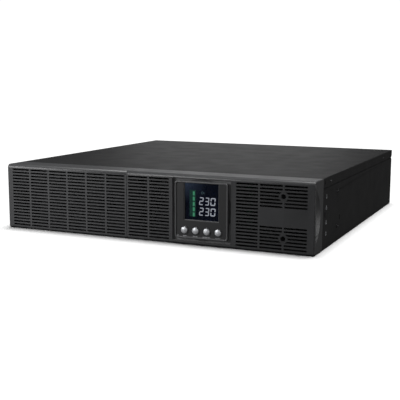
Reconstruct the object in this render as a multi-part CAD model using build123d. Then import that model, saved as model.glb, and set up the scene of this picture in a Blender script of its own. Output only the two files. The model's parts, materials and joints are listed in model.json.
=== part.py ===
"""Rack/tower uninterruptible power supply, two rack units high, as separate sub-parts.

Row frame, millimetres: +X to the right seen from the front, +Y to the rear, +Z up. The origin is
the centre of the footprint, on the plane that the flat case bottom stands on. Depths written
d(...) are measured back from the front face of the bezel.
"""
import math
import os

from build123d import *

# ---------------------------------------------------------------- driving dimensions
WIDTH = 438.0  # case between the posts of a 19 inch rack
HEIGHT = 88.0  # two rack units, less clearance
LENGTH = 440.0  # bezel face to rear panel
BEZEL_DEPTH = 34.0
FRONT_PROUD = 2.0  # button domes, ahead of the bezel face
REAR_PROUD = 8.0  # emergency-off plug, behind the rear panel
SHEET = 1.2  # case sheet thickness
LIP = 12.0  # height of the top cover's side lips
WALL = 2.5  # bezel wall
REVEAL = 0.8  # shadow gap between the bezel's outer faces and the case
SEAM_X = -32.0  # joint between battery cover and main bezel
SEAM_GAP = 0.6

FRONT = -(LENGTH + REAR_PROUD - FRONT_PROUD) / 2
REAR = FRONT + LENGTH
HALF = WIDTH / 2
CASE_FRONT = FRONT + BEZEL_DEPTH
INNER = HALF - SHEET
FLANGE_INNER = INNER - 1.4  # inner face of the joggled flange under the cover lip
PANEL_IN = REAR - SHEET  # inner face of the rear panel

# Front grille: rows of horizontal slots in columns.
ROWS = 19
ROW_LOW = 5.2
ROW_PITCH = 4.22
SLOT_HEIGHT = 2.2
RIB = 2.4
LEFT_GRILLE = (-210.6, -34.6, 6)
MIDDLE_GRILLE = (-29.4, 29.0, 2)
RIGHT_GRILLE = (119.8, 209.6, 3)
PLAIN_ROWS = range(7, 12)  # rows left out beside the plain panel
SCREW_ROWS = (3, 15)  # rows that the two bezel screw holes stand on

# Display module, a square that draws out of a square pocket.
SCREEN_X, SCREEN_Z = 73.5, 44.0
POCKET = 79.5
MODULE = 73.0
POCKET_FLOOR = 4.8
TURN_RADIUS = 39.3  # the round housing turns in the pocket's round hole
FLANGE_RADIUS = 43.0  # the shallow flange behind the plate clears the pocket once drawn out
FLANGE_END = 4.3
PULL_CLEAR = 0.25  # running gap of the housing in its guide sleeve
GUIDE_END = 31.0  # rear end of the bezel's guide sleeve
HEADER_END = 17.5  # rear of the display board's cable header
HOUSING_END = 54.0
BUTTON_PITCH = 15.27
BUTTON_DROP = 25.9
BUTTON_RADIUS = 4.9
WINDOW_HALF = 22.75
WINDOW_LOW, WINDOW_HIGH = -12.3, 34.0

# Finger scoops in the ends of the bezel.
GRIP_Z = 45.0
GRIP_FRONT, GRIP_REAR = 3.5, 22.5
GRIP_DEEP = 8.0
GRIP_RADIUS = 84.0

# Fixings in the side walls, as (depth from the face, height).
EAR_HOLES = [(48.0, z) for z in (19.0, 33.0, 51.0, 65.0)]
EAR_HOOKS = [(42.0, 43.0), (111.5, 29.6)]
SIDE_SCREWS = [(100.0, 20.0), (100.0, 65.0)]
LIP_SCREWS = [(67.0, 81.8), (372.0, 81.8)]
REAR_LIP_SCREWS = (-190.0, 0.0, 100.0)
EAR_THREAD_R = 2.0
EAR_SHANK_R = 2.7

# Battery bay.
BAY_LEFT, BAY_RIGHT = -205.5, -43.5
BAY_MID = (BAY_LEFT + BAY_RIGHT) / 2
PARTITION_X = -31.2
BATTERY = (151.0, 94.0, 65.0)
BATTERY_PITCH = 101.0
BATTERY_START = 38.0
TRAY_END = 372.0
TRAY_FLOOR = 1.6
TRAY_SHEET = 1.0
TRAY_SCREWS = [(x, z) for x in (-209.5, -39.5) for z in (20.0, 66.0)]
PLUG_X, PLUG_Z = -60.0, 40.0
TERMINALS_X = (BAY_MID - 62.0, BAY_MID + 62.0)
TERMINAL_Z = 57.0
WIRE_TOP = 72.5
WIRE_R = 1.5

# Electronics bay.
BOARD_X = (-20.0, 205.0)
BOARD_D = (58.0, 398.0)
BOARD_Z = 9.0
BOARD_THICK = 1.6
BOARD_TOP = BOARD_Z + BOARD_THICK
STANDOFFS = [(x, depth) for x in (-12.0, 88.0) for depth in (66.0, 228.0, 390.0)]
STANDOFFS += [(197.0, 66.0), (150.0, 228.0), (197.0, 390.0)]
FIN_LENGTH, FIN_THICK, FINS = 25.0, 1.8, 9
SINK_D = (120.0, 300.0)
SINK_TOP = 74.0

# Rear panel.
FAN_X, FAN_Z, FAN_SIZE, FAN_THICK = 165.0, 44.0, 80.0, 25.0
FAN_HOLE = 35.75
FAN_DUCT_R = 38.0
INLET_X, INLET_Z = 92.0, 60.0
INLET_PIN = 27.0  # pin length inside the panel
FILTER_TABS = (84.0, 94.0, 104.0)
BREAKER_X, BREAKER_Z = 92.0, 24.0
BANKS_X = (25.0, -47.0)
BANK_SIZE = (68.0, 62.0)
OUTLET_PITCH = (32.5, 29.5)
SLOT_X, SLOT_Z, SLOT_SIZE = -125.0, 60.0, (84.0, 34.0)
USB_X, SERIAL_X, EPO_X, JACKS_X = -98.0, -127.0, -156.0, -187.0
PORT_Z = 22.0
GROUND = (68.0, 15.0)
GUARD_WIRE = 0.9
RIM = 0.05  # running gap of a part that sits in its own hole


def d(depth):
    """Y of a point that lies a given depth behind the bezel face."""
    return FRONT + depth


def block(x, y, z):
    """A box from three (low, high) pairs."""
    size = [b - a for a, b in (x, y, z)]
    centre = [(a + b) / 2 for a, b in (x, y, z)]
    return Pos(*centre) * Box(*size)


def around(centre, half):
    return (centre - half, centre + half)


def rod_y(x, z, radius, y):
    """A cylinder along Y between two Y values."""
    return Pos(x, (y[0] + y[1]) / 2, z) * Rot(90, 0, 0) * Cylinder(radius, y[1] - y[0])


def rod_z(x, y, radius, z):
    return Pos(x, y, (z[0] + z[1]) / 2) * Cylinder(radius, z[1] - z[0])


def rod_x(y, z, radius, x):
    return Pos((x[0] + x[1]) / 2, y, z) * Rot(0, 90, 0) * Cylinder(radius, x[1] - x[0])


def dome_cap(radius, rise):
    """Spherical cap of a given base radius, standing on the XY plane."""
    ball = (radius**2 + rise**2) / (2 * rise)
    sphere = Pos(0, 0, rise - ball) * Sphere(ball)
    return sphere & Pos(0, 0, 2 * ball) * Box(8 * ball, 8 * ball, 4 * ball)


def fuse(pieces):
    return pieces[0] + pieces[1:]


def group(pieces):
    return Compound(children=list(pieces))


def edge_near(shape, *point):
    return shape.edges().sort_by_distance(point)[0]


def rounded_square(half, corner, y):
    """A square plate in the XZ plane about the display centre, with rounded corners."""
    plate = block(around(SCREEN_X, half), y, around(SCREEN_Z, half))
    return fillet(plate.edges().filter_by(Axis.Y), corner)


# ---------------------------------------------------------------- front bezel
def row_z(row):
    return ROW_LOW + row * ROW_PITCH


def slots(grille, keep=lambda row, column: True):
    """Cutters for one grille field of (left, right, columns)."""
    left, right, columns = grille
    length = (right - left - RIB * (columns - 1)) / columns
    cutters = []
    for column in range(columns):
        start = left + column * (length + RIB)
        for row in range(ROWS):
            if keep(row, column):
                z = around(row_z(row), SLOT_HEIGHT / 2)
                cutters.append(block((start, start + length), (d(-1), d(WALL + 1)), z))
    return cutters


def bezel_shell(x, end):
    """Hollow bezel part between two X values; end is +1 or -1, the side with the outer wall."""
    outer = block(x, (FRONT, CASE_FRONT), (0.4, HEIGHT))
    mid = (x[0] + x[1]) / 2
    outer = fillet(edge_near(outer, mid, FRONT, HEIGHT), 5.0)
    outer = fillet(edge_near(outer, mid, FRONT, 0.4), 2.0)
    side = outer.faces().sort_by(Axis.X)[-1 if end > 0 else 0]
    rim = [e for e in side.edges() if e.center().Y < CASE_FRONT - 0.1]
    outer = fillet(rim, 1.2)
    reveal_y = (CASE_FRONT - REVEAL, CASE_FRONT + 1)
    outer = outer - block(around(0, HALF + 1), reveal_y, (HEIGHT - REVEAL, HEIGHT + 1))
    flank = sorted((end * (HALF - REVEAL), end * (HALF + 1)))
    outer = outer - block(flank, reveal_y, (0, HEIGHT + 1))
    seam_wall = 1.9
    low = x[0] + (WALL if end < 0 else seam_wall)
    high = x[1] - (WALL if end > 0 else seam_wall)
    cavity = block((low, high), (d(WALL), CASE_FRONT + 1), (0.4 + WALL, HEIGHT - WALL))
    return outer - cavity


def grip_cylinder(end, extra):
    """Tilted cylinder of a finger scoop: deepest at the front lip, running out to the rear."""
    run = GRIP_REAR - GRIP_FRONT
    slope = math.hypot(run, GRIP_DEEP)
    outward = (run / slope, -GRIP_DEEP / slope)
    middle_x = HALF - GRIP_DEEP / 2 + outward[0] * GRIP_RADIUS
    middle_y = d((GRIP_FRONT + GRIP_REAR) / 2) + outward[1] * GRIP_RADIUS
    axis = Plane(
        origin=(end * middle_x, middle_y, GRIP_Z),
        z_dir=(end * -GRIP_DEEP / slope, -run / slope, 0),
    )
    return axis * Cylinder(GRIP_RADIUS + extra, 120.0)


def add_grip(shell, end):
    inside = sorted((end * (HALF - GRIP_DEEP - WALL), end * (HALF - 1.0)))
    pad_zone = block(inside, (d(1.5), CASE_FRONT - 2.0), (1.5, HEIGHT - 1.5))
    scoop_zone = block(
        sorted((end * (HALF - 20), end * (HALF + 20))), (d(GRIP_FRONT), d(BEZEL_DEPTH)), (0, HEIGHT)
    )
    shell = shell + (grip_cylinder(end, WALL) & pad_zone)
    return shell - (grip_cylinder(end, 0.0) & scoop_zone)


def cover_tabs():
    """Snap tabs at both ends of the battery cover, which reach through the bulkhead."""
    tabs = []
    for x in ((-216.9, -215.1), (-34.2, -32.6)):
        for z in ((20.0, 32.0), (56.0, 68.0)):
            tabs.append(block(x, (CASE_FRONT - 8, CASE_FRONT + 5), z))
    return tabs


def front_cover():
    shell = bezel_shell((-HALF, SEAM_X - SEAM_GAP / 2), -1)
    shell = add_grip(shell, -1)
    shell = shell - slots(LEFT_GRILLE)
    return shell + cover_tabs()


def bezel_screw_spots():
    left, right, columns = RIGHT_GRILLE
    length = (right - left - RIB * (columns - 1)) / columns
    x = left + 2 * length + 1.5 * RIB
    return [(x, row_z(row)) for row in SCREW_ROWS]


def front_bezel():
    shell = bezel_shell((SEAM_X + SEAM_GAP / 2, HALF), 1)
    shell = add_grip(shell, 1)
    shell = shell + block(
        around(SCREEN_X, POCKET / 2 + 2),
        (d(WALL - 0.2), d(POCKET_FLOOR + WALL)),
        around(SCREEN_Z, POCKET / 2 + 2),
    )
    cuts = slots(MIDDLE_GRILLE)
    cuts += slots(RIGHT_GRILLE, lambda row, column: column == 0 or row not in PLAIN_ROWS)
    shell = shell - cuts
    shell = shell - block(
        around(SCREEN_X, POCKET / 2), (d(-1), d(POCKET_FLOOR)), around(SCREEN_Z, POCKET / 2)
    )
    shell = shell + rod_y(SCREEN_X, SCREEN_Z, TURN_RADIUS + WALL, (d(POCKET_FLOOR + 1), d(GUIDE_END)))
    shell = shell - rod_y(
        SCREEN_X, SCREEN_Z, TURN_RADIUS + PULL_CLEAR, (d(POCKET_FLOOR - 1), d(GUIDE_END + 1))
    )
    for x, z in bezel_screw_spots():
        shell = shell + rod_y(x, z, 5.8, (d(0), CASE_FRONT + 1.2))
        shell = shell - rod_y(x, z, 3.0, (d(-1), d(BEZEL_DEPTH - 3)))
        shell = shell - rod_y(x, z, 1.8, (d(BEZEL_DEPTH - 4), CASE_FRONT + 2))
    return shell


def pan_screw_y(x, z, head_r, head, shank_r, y_seat, length, forward):
    """A screw along Y: its head sits on y_seat, and forward is the head's side (+1 rear, -1 front)."""
    head_y = sorted((y_seat, y_seat + forward * head))
    shank_y = sorted((y_seat, y_seat - forward * length))
    body = rod_y(x, z, head_r, head_y) + rod_y(x, z, shank_r, shank_y)
    drive = y_seat + forward * head
    cross_y = sorted((drive + forward, drive - forward * head * 0.55))
    arm, blade = head_r * 0.6, head_r * 0.13
    return body - [
        block(around(x, arm), cross_y, around(z, blade)),
        block(around(x, blade), cross_y, around(z, arm)),
    ]


def bezel_screws():
    seat = d(BEZEL_DEPTH - 3)
    return group(pan_screw_y(x, z, 2.8, 2.0, 1.5, seat, 9.0, -1) for x, z in bezel_screw_spots())


# ---------------------------------------------------------------- display module
def module_section(half, radius, y):
    """The turning part's outline: a square with its corners inside the turning circle."""
    return block(around(SCREEN_X, half), y, around(SCREEN_Z, half)) & rod_y(
        SCREEN_X, SCREEN_Z, radius, y
    )


def button_spots():
    z = SCREEN_Z - BUTTON_DROP
    return [(SCREEN_X + (i - 1.5) * BUTTON_PITCH, z) for i in range(4)]


def window_block(grow, y):
    return block(
        around(SCREEN_X, WINDOW_HALF + grow),
        y,
        (SCREEN_Z + WINDOW_LOW - grow, SCREEN_Z + WINDOW_HIGH + grow),
    )


def display_frame():
    plate = rounded_square(MODULE / 2, 4.0, (d(0.2), d(1.6)))
    bead = rounded_square(MODULE / 2 - 0.5, 3.5, (d(-1.0), d(0.2)))
    bead = bead - rounded_square(MODULE / 2 - 2.6, 2.4, (d(-2), d(0.2)))
    bead = fillet([e for e in bead.edges() if e.center().Y < d(-0.99)], 0.85)
    opening = window_block(0.0, (d(0), d(2)))
    frame = plate + bead - opening
    rim = [
        e
        for e in frame.edges()
        if abs(e.center().Y - d(0.2)) < 0.01
        and abs(e.center().X - SCREEN_X) < WINDOW_HALF + 0.1
        and WINDOW_LOW - 0.1 < e.center().Z - SCREEN_Z < WINDOW_HIGH + 0.1
    ]
    frame = chamfer(rim, 1.3)
    return frame - [
        rod_y(x, z, BUTTON_RADIUS + 0.15, (d(-1), d(3))) for x, z in button_spots()
    ]


def screen_sheet(y):
    """A sheet behind the screen opening, its corners inside the front flange."""
    return window_block(1.8, y) & rod_y(SCREEN_X, SCREEN_Z, FLANGE_RADIUS - 1.0, y)


def display_window():
    return screen_sheet((d(1.6), d(2.5)))


def lcd_panel():
    return screen_sheet((d(2.5), d(4.0)))


def display_housing():
    """Rear shell: a shallow flange that holds the screen, and a drum that turns in its sleeve."""
    half, wall = MODULE / 2 - 0.6, 1.6
    flange = module_section(half, FLANGE_RADIUS, (d(1.6), d(FLANGE_END)))
    drum = rod_y(SCREEN_X, SCREEN_Z, TURN_RADIUS, (d(FLANGE_END - 0.2), d(HOUSING_END)))
    cuts = [
        module_section(half - wall, FLANGE_RADIUS - wall, (d(1), d(FLANGE_END - 0.1))),
        module_section(half - wall, TURN_RADIUS - wall, (d(4), d(10))),
        rod_y(SCREEN_X, SCREEN_Z, TURN_RADIUS - wall, (d(FLANGE_END + 1.4), d(HOUSING_END - wall))),
        window_block(1.9, (d(1), d(4.1))) & rod_y(SCREEN_X, SCREEN_Z, FLANGE_RADIUS - 0.9, (d(1), d(4.1))),
        rod_y(SCREEN_X, SCREEN_Z, 20.0, (d(HOUSING_END - 3), d(HOUSING_END + 1))),
    ]
    return flange + drum - cuts


def display_board():
    board = module_section(MODULE / 2 - 2.6, TURN_RADIUS - 2.0, (d(9), d(10.6)))
    switches = [rod_y(x, z, 2.4, (d(7.2), d(9.1))) for x, z in button_spots()]
    header = block(around(SCREEN_X, 10.5), (d(10.5), d(HEADER_END)), around(SCREEN_Z, 3.2))
    return board + switches + header


def button(x, z):
    """Domed cap in the frame's hole, with a collar behind the plate and a stem to its switch."""
    dome_base = -0.3
    cap = rod_y(x, z, BUTTON_RADIUS, (d(dome_base), d(0.7)))
    dome = Pos(x, d(dome_base), z) * Rot(90, 0, 0) * dome_cap(BUTTON_RADIUS, FRONT_PROUD + dome_base)
    collar = rod_y(x, z, 5.7, (d(1.65), d(2.4)))
    return fuse([cap, dome, collar, rod_y(x, z, 1.6, (d(0.5), d(6.2)))])


def display_cable():
    """Ribbon from the display's header, folded inside the housing, to the control board."""
    stops = [(d(HEADER_END + 0.05), SCREEN_Z), (d(20), SCREEN_Z)]
    for i in range(5):
        stops.append((d(24 + 6.5 * i), SCREEN_Z + (13 if i % 2 else -13)))
    stops += [(d(55.5), SCREEN_Z), (d(57.5), SCREEN_Z)]
    ribbon = trace(Polyline(*stops), 0.8)
    return Pos(SCREEN_X - 10, 0, 0) * extrude(Plane.YZ * ribbon, 20.0)


# ---------------------------------------------------------------- case
def mirrored(piece_at):
    """The same piece on the right and left sides; piece_at takes +1 or -1."""
    return [piece_at(1), piece_at(-1)]


def wall_rod(end, spot, radius, x):
    depth, z = spot
    return rod_x(d(depth), z, radius, sorted((end * x[0], end * x[1])))


def chassis_base():
    step = HEIGHT - LIP - 0.6
    length = (CASE_FRONT, REAR)
    flange_x = (FLANGE_INNER, INNER - 0.2)

    def wall(end):
        def at(x):
            return tuple(sorted((end * x[0], end * x[1])))

        upright = block(at((INNER, HALF)), length, (0, step))
        upright = chamfer(edge_near(upright, end * (INNER + HALF) / 2, REAR, step), 3.0)
        joggle = block(at((FLANGE_INNER, HALF - 0.3)), (CASE_FRONT, REAR - 4), (step - SHEET, step))
        flange = block(at(flange_x), (CASE_FRONT, REAR - 4), (step - SHEET, HEIGHT - 1.6))
        return upright + joggle + flange

    base = block((-HALF, HALF), length, (0, SHEET)) + mirrored(wall)
    base = fillet([edge_near(base, end * HALF, 0, 0) for end in (1, -1)], 1.0)
    cuts = []
    for end in (1, -1):
        cuts += [wall_rod(end, s, EAR_SHANK_R + RIM, (INNER - 1, HALF + 1)) for s in EAR_HOLES]
        cuts += [wall_rod(end, s, 1.5 + RIM, (INNER - 1, HALF + 1)) for s in SIDE_SCREWS]
        for depth, z in EAR_HOOKS:
            x = sorted((end * (INNER - 1), end * (HALF + 1)))
            cuts.append(block(x, around(d(depth), 1.1), around(z, 3.2)))
        cuts += [wall_rod(end, s, 1.3, (FLANGE_INNER - 1, INNER)) for s in LIP_SCREWS]
    return base - cuts


def top_cover():
    plate = block((-HALF, HALF), (CASE_FRONT, REAR + SHEET), (HEIGHT - SHEET, HEIGHT))

    def lip(end):
        x = tuple(sorted((end * INNER, end * HALF)))
        side = block(x, (CASE_FRONT, REAR), (HEIGHT - LIP, HEIGHT))
        return chamfer(edge_near(side, end * (INNER + HALF) / 2, REAR, HEIGHT - LIP), 3.0)

    rear_lip = block((-HALF, HALF), (REAR, REAR + SHEET), (HEIGHT - 9, HEIGHT))
    cover = plate + mirrored(lip) + rear_lip
    cover = fillet([edge_near(cover, end * HALF, 0, HEIGHT) for end in (1, -1)], 1.1)
    cuts = []
    for end in (1, -1):
        cuts += [wall_rod(end, s, 1.6, (INNER - 1, HALF + 1)) for s in LIP_SCREWS]
        x = sorted((end * (INNER - 1), end * (HALF + 1)))
        cuts.append(block(x, around(d(40.5), 0.9), around(82.5, 2.0)))
    cuts += [rod_y(x, HEIGHT - 5, 1.6, (REAR - 1, REAR + 2)) for x in REAR_LIP_SCREWS]
    fan_notch = block(around(FAN_X, 42), (REAR, REAR + 2), (HEIGHT - 10, HEIGHT - 3.8))
    cuts.append(fan_notch)
    return cover - cuts


def rack_ear_inserts():
    """Self-clinching M4 nuts: shank flush with the outer face, body behind the wall."""

    def insert(end, spot):
        shank = wall_rod(end, spot, EAR_SHANK_R, (INNER - 0.1, HALF))
        body = wall_rod(end, spot, 3.9, (INNER - 3.4, INNER - RIM))
        return shank + body - wall_rod(end, spot, EAR_THREAD_R, (INNER - 5, HALF + 1))

    return group(insert(end, spot) for end in (1, -1) for spot in EAR_HOLES)


def side_screw(end, spot, head_r, head, shank_r, length):
    """Domed pan-head screw in a side wall."""
    depth, z = spot
    y = d(depth)
    dome = Pos(end * HALF, y, z) * Rot(0, end * 90, 0) * dome_cap(head_r, head)
    dome = dome + wall_rod(end, spot, shank_r, (HALF - length, HALF + 0.2))
    x = sorted((end * (HALF + head * 0.45), end * (HALF + head + 1)))
    return dome - [
        block(x, around(y, head_r * 0.55), around(z, 0.35)),
        block(x, around(y, 0.35), around(z, head_r * 0.55)),
    ]


def side_screws():
    return group(
        side_screw(end, s, 3.6, 2.0, 1.5, 7.0) for end in (1, -1) for s in SIDE_SCREWS
    )


def cover_screws():
    return group(
        side_screw(end, s, 2.6, 1.0, 1.25, 5.0) for end in (1, -1) for s in LIP_SCREWS
    )


def front_bulkhead():
    y = (CASE_FRONT + 1.4, CASE_FRONT + 2.6)
    cut_y = (CASE_FRONT, CASE_FRONT + 4)
    plate = block((-FLANGE_INNER + 0.2, FLANGE_INNER - 0.2), y, (SHEET + 0.1, HEIGHT - 1.4))
    cuts = [block((BAY_LEFT - 0.5, BAY_RIGHT + 0.5), cut_y, (0, 78.0))]
    for x in ((-217.4, -214.7), (-34.8, -32.0)):
        for z in ((19.0, 33.0), (55.0, 69.0)):
            cuts.append(block(x, cut_y, z))
    cuts.append(rod_y(SCREEN_X, SCREEN_Z, TURN_RADIUS + 0.5, cut_y))
    for column in range(6):
        for row in range(10):
            x = (-24 + column * 15 if column < 3 else 74 + column * 15) + (row % 2) * 4
            z = 10 + row * 7.4
            cuts.append(block((x, x + 9), cut_y, (z, z + 4)))
    cuts += [rod_y(x, z, 1.5 + RIM, cut_y) for x, z in bezel_screw_spots()]
    cuts += [rod_y(x, z, 1.75, cut_y) for x, z in TRAY_SCREWS]
    return plate - cuts


def bay_partition():
    """Sheet wall between battery bay and electronics, with the drawer connector's bracket."""
    wall_x = (PARTITION_X, PARTITION_X + SHEET)
    wall = block(wall_x, (CASE_FRONT + 2.8, d(412)), (SHEET, HEIGHT - 1.4))
    foot = block((PARTITION_X, PARTITION_X + 11), (CASE_FRONT + 2.8, d(412)), (SHEET, 2 * SHEET))
    bracket = block((PLUG_X - 22, PARTITION_X + 0.1), (d(396), d(397.2)), (SHEET, 60))
    vents = [block((-33, -28), (d(90 + 30 * i), d(110 + 30 * i)), (70, 76)) for i in range(9)]
    return fuse([wall, foot, bracket]) - vents


# ---------------------------------------------------------------- battery drawer
def battery_tray():
    y_floor = (CASE_FRONT, d(TRAY_END))
    top = TRAY_FLOOR + TRAY_SHEET
    floor = block((BAY_LEFT, BAY_RIGHT), y_floor, (TRAY_FLOOR, top))
    left = block((BAY_LEFT, BAY_LEFT + TRAY_SHEET), y_floor, (TRAY_FLOOR, 42))
    right = block((BAY_RIGHT - TRAY_SHEET, BAY_RIGHT), y_floor, (TRAY_FLOOR, 42))
    back = block((BAY_LEFT, BAY_RIGHT), (d(TRAY_END - TRAY_SHEET), d(TRAY_END)), (TRAY_FLOOR, 60))
    plate = block((BAY_LEFT - 7.5, BAY_RIGHT + 7.5), (CASE_FRONT, CASE_FRONT + SHEET), (TRAY_FLOOR, 81))
    tray = fuse([floor, left, right, back, plate])
    holes = [rod_y(x, z, 1.6, (CASE_FRONT - 1, CASE_FRONT + 1.3)) for x, z in TRAY_SCREWS]
    wires = rod_y(PLUG_X, PLUG_Z + 16, 6, (d(TRAY_END - 3), d(TRAY_END + 1)))
    return tray - holes - wires


def tray_handle():
    """D-shaped moulded handle screwed to the drawer's front plate."""
    mid_z, reach = 40.0, 22.0
    y = (CASE_FRONT - reach, CASE_FRONT - RIM)
    bow = block(around(BAY_MID, 52), y, around(mid_z, 8))
    bow = fillet(bow.edges().filter_by(Axis.Z).sort_by(Axis.Y)[:2], 8.0)
    hole = block(around(BAY_MID, 42), (CASE_FRONT - reach + 7, CASE_FRONT + 1), around(mid_z, 10))
    return fillet((bow - hole).edges().filter_by(Axis.X).sort_by(Axis.Y)[:2], 2.5)


def battery(index):
    """Sealed lead-acid block on its side, with its two tabs at the rear end."""
    width, depth, height = BATTERY
    start = BATTERY_START + index * BATTERY_PITCH
    z = (TRAY_FLOOR + TRAY_SHEET, TRAY_FLOOR + TRAY_SHEET + height)
    case = block(around(BAY_MID, width / 2), (d(start), d(start + depth - 9)), z)
    lid = block(
        around(BAY_MID, width / 2 - 0.6), (d(start + depth - 9), d(start + depth)), (z[0] + 0.6, z[1] - 0.6)
    )
    tabs = [
        block(around(x, 3.2), (d(start + depth - 0.5), d(start + depth + 5)), around(TERMINAL_Z, 0.4))
        for x in TERMINALS_X
    ]
    return group([case + lid, *[tab - lid for tab in tabs]])


def wire(points, bend):
    route = FilletPolyline(*points, radius=bend)
    return sweep(Plane(route @ 0, z_dir=route % 0) * Circle(WIRE_R), path=route)


def battery_leads():
    """Series jumpers over the blocks, and the two leads to the drawer plug."""

    def tab_y(index):
        return d(BATTERY_START + index * BATTERY_PITCH + BATTERY[1] + 2.8)

    def jumper(x, first, last):
        low = TERMINAL_Z + 0.4
        return wire(
            [(x, tab_y(first), low), (x, tab_y(first), WIRE_TOP), (x, tab_y(last), WIRE_TOP), (x, tab_y(last), low)],
            5.0,
        )

    left, right = TERMINALS_X
    plug_y = d(TRAY_END + 4)
    plug_top = PLUG_Z + 10.05
    positive = wire(
        [
            (left, tab_y(0), TERMINAL_Z + 0.4),
            (left, tab_y(0), WIRE_TOP + 3.5),
            (PLUG_X - 6, tab_y(0), WIRE_TOP + 3.5),
            (PLUG_X - 6, plug_y, WIRE_TOP + 3.5),
            (PLUG_X - 6, plug_y, plug_top),
        ],
        5.0,
    )
    negative = wire(
        [
            (right, tab_y(2), TERMINAL_Z + 0.4),
            (right, tab_y(2), WIRE_TOP),
            (PLUG_X + 6, tab_y(2) + 14, WIRE_TOP),
            (PLUG_X + 6, plug_y, WIRE_TOP),
            (PLUG_X + 6, plug_y, plug_top),
        ],
        4.0,
    )
    return group([jumper(right, 0, 1), jumper(left, 1, 2), positive, negative])


def battery_plug():
    body = block(around(PLUG_X, 16), (d(TRAY_END + RIM), d(384)), around(PLUG_Z, 10))
    nose = block(around(PLUG_X, 12), (d(383.9), d(392)), around(PLUG_Z, 7))
    contacts = [
        block(around(PLUG_X + s * 6, 1.5), (d(385), d(393)), around(PLUG_Z, 4)) for s in (1, -1)
    ]
    return body + nose - contacts


def battery_socket():
    body = block(around(PLUG_X, 17), (d(384.4), d(396)), around(PLUG_Z, 11))
    return body - block(around(PLUG_X, 12.4), (d(384), d(392.8)), around(PLUG_Z, 7.4))


def tray_screws():
    return group(
        pan_screw_y(x, z, 3.2, 2.4, 1.45, CASE_FRONT - RIM, 8.0, -1) for x, z in TRAY_SCREWS
    )


# ---------------------------------------------------------------- electronics
def main_board():
    board = block(BOARD_X, (d(BOARD_D[0]), d(BOARD_D[1])), (BOARD_Z, BOARD_TOP))
    return board - [rod_z(x, d(depth), 1.7, (0, 20)) for x, depth in STANDOFFS]


def board_standoffs():
    def standoff(x, depth):
        post = rod_z(x, d(depth), 3.2, (SHEET, BOARD_Z))
        stud = rod_z(x, d(depth), 1.6, (BOARD_Z - 0.1, BOARD_TOP + 0.1))
        return post + stud + rod_z(x, d(depth), 2.9, (BOARD_TOP, BOARD_TOP + 1.8))

    return group(standoff(*s) for s in STANDOFFS)


def heatsink(base_x, toward):
    """Upright extrusion whose fins run front to rear; toward is the fins' side, +1 or -1."""
    y = (d(SINK_D[0]), d(SINK_D[1]))
    z = (BOARD_TOP, SINK_TOP)
    plate = block(sorted((base_x, base_x - toward * 4.0)), y, z)
    pitch = (z[1] - z[0] - FIN_THICK) / (FINS - 1)
    fins = [
        block(
            sorted((base_x - toward * 0.1, base_x + toward * FIN_LENGTH)),
            y,
            (z[0] + i * pitch, z[0] + i * pitch + FIN_THICK),
        )
        for i in range(FINS)
    ]
    return plate + fins


def power_transistors():
    """Five flat transistors on the plain side of each heatsink, standing in the board."""
    pieces = []
    for face, away in ((100.0, -1), (200.0, 1)):
        for i in range(5):
            y = d(SINK_D[0] + 20 + 35 * i)
            body = block(sorted((face, face + away * 4.8)), around(y, 8), (24, 45))
            legs = [
                block(sorted((face + away * 2, face + away * 2.8)), around(y + s * 5.4, 0.6), (BOARD_TOP, 24.1))
                for s in (-1, 0, 1)
            ]
            pieces.append(body + legs)
    return group(pieces)


def bus_capacitors():
    spots = [(x, depth) for x in (44.0, 72.0) for depth in (96.0, 124.0, 152.0)]
    cans = []
    for x, depth in spots:
        can = rod_z(x, d(depth), 12.5, (BOARD_TOP, BOARD_TOP + 45))
        groove = can - rod_z(x, d(depth), 11.9, (0, HEIGHT))
        ring = groove & block(around(x, 15), around(d(depth), 15), (BOARD_TOP + 3, BOARD_TOP + 4.4))
        cans.append(can - ring)
    return group(cans)


def pfc_inductors():
    spots = [(58.0, 200.0), (58.0, 252.0), (150.0, 88.0)]
    turns = 18
    coils = []
    for x, depth in spots:
        ring = Pos(x, d(depth), BOARD_TOP + 10) * Torus(15.5, 7.0)
        strands = []
        for i in range(turns):
            strand = Rot(0, 0, i * 360 / turns) * Pos(15.5, 0, 0) * Rot(90, 0, 0) * Torus(7.4, 1.1)
            strands.append(Pos(x, d(depth), BOARD_TOP + 10) * strand)
        coils.append(ring + strands)
    return group(coils)


def charger_transformer():
    mid_x = 47.0
    x, y, z = around(mid_x, 21), around(d(318), 20), (BOARD_TOP, BOARD_TOP + 34)
    core = block(x, y, z) - block((x[0] + 6, x[1] - 6), (y[0] - 1, y[1] + 1), (z[0] + 6, z[1] - 6))
    leg = block(around(mid_x, 5), y, (z[0] + 5.9, z[1] - 5.9))
    winding_y = (y[0] - 4, y[1] + 4)
    winding = block((x[0] + 6.2, x[1] - 6.2), winding_y, (z[0] + 6.2, z[1] - 6.2))
    return group([core + leg, winding - block(around(mid_x, 5.05), (y[0] - 9, y[1] + 9), z)])


def transfer_relays():
    return group(
        fillet(
            block(around(-2.0, 14.5), around(d(280 + 20 * i), 6.4), (BOARD_TOP, BOARD_TOP + 25))
            .edges()
            .filter_by(Axis.Z),
            0.8,
        )
        for i in range(4)
    )


def control_board():
    y = (d(61), d(62.6))
    board = block((32.0, 118.0), y, (BOARD_TOP, 76))
    header = block(around(SCREEN_X, 11), (d(57.6), d(61.1)), around(SCREEN_Z, 3.4))
    chips = [
        block(around(x, w), (d(62.5), d(64.2)), around(z, w))
        for x, z, w in ((52.0, 50.0, 7.0), (80.0, 58.0, 5.0), (100.0, 40.0, 4.0), (72.0, 30.0, 5.0))
    ]
    return fuse([board, header, *chips])


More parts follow.
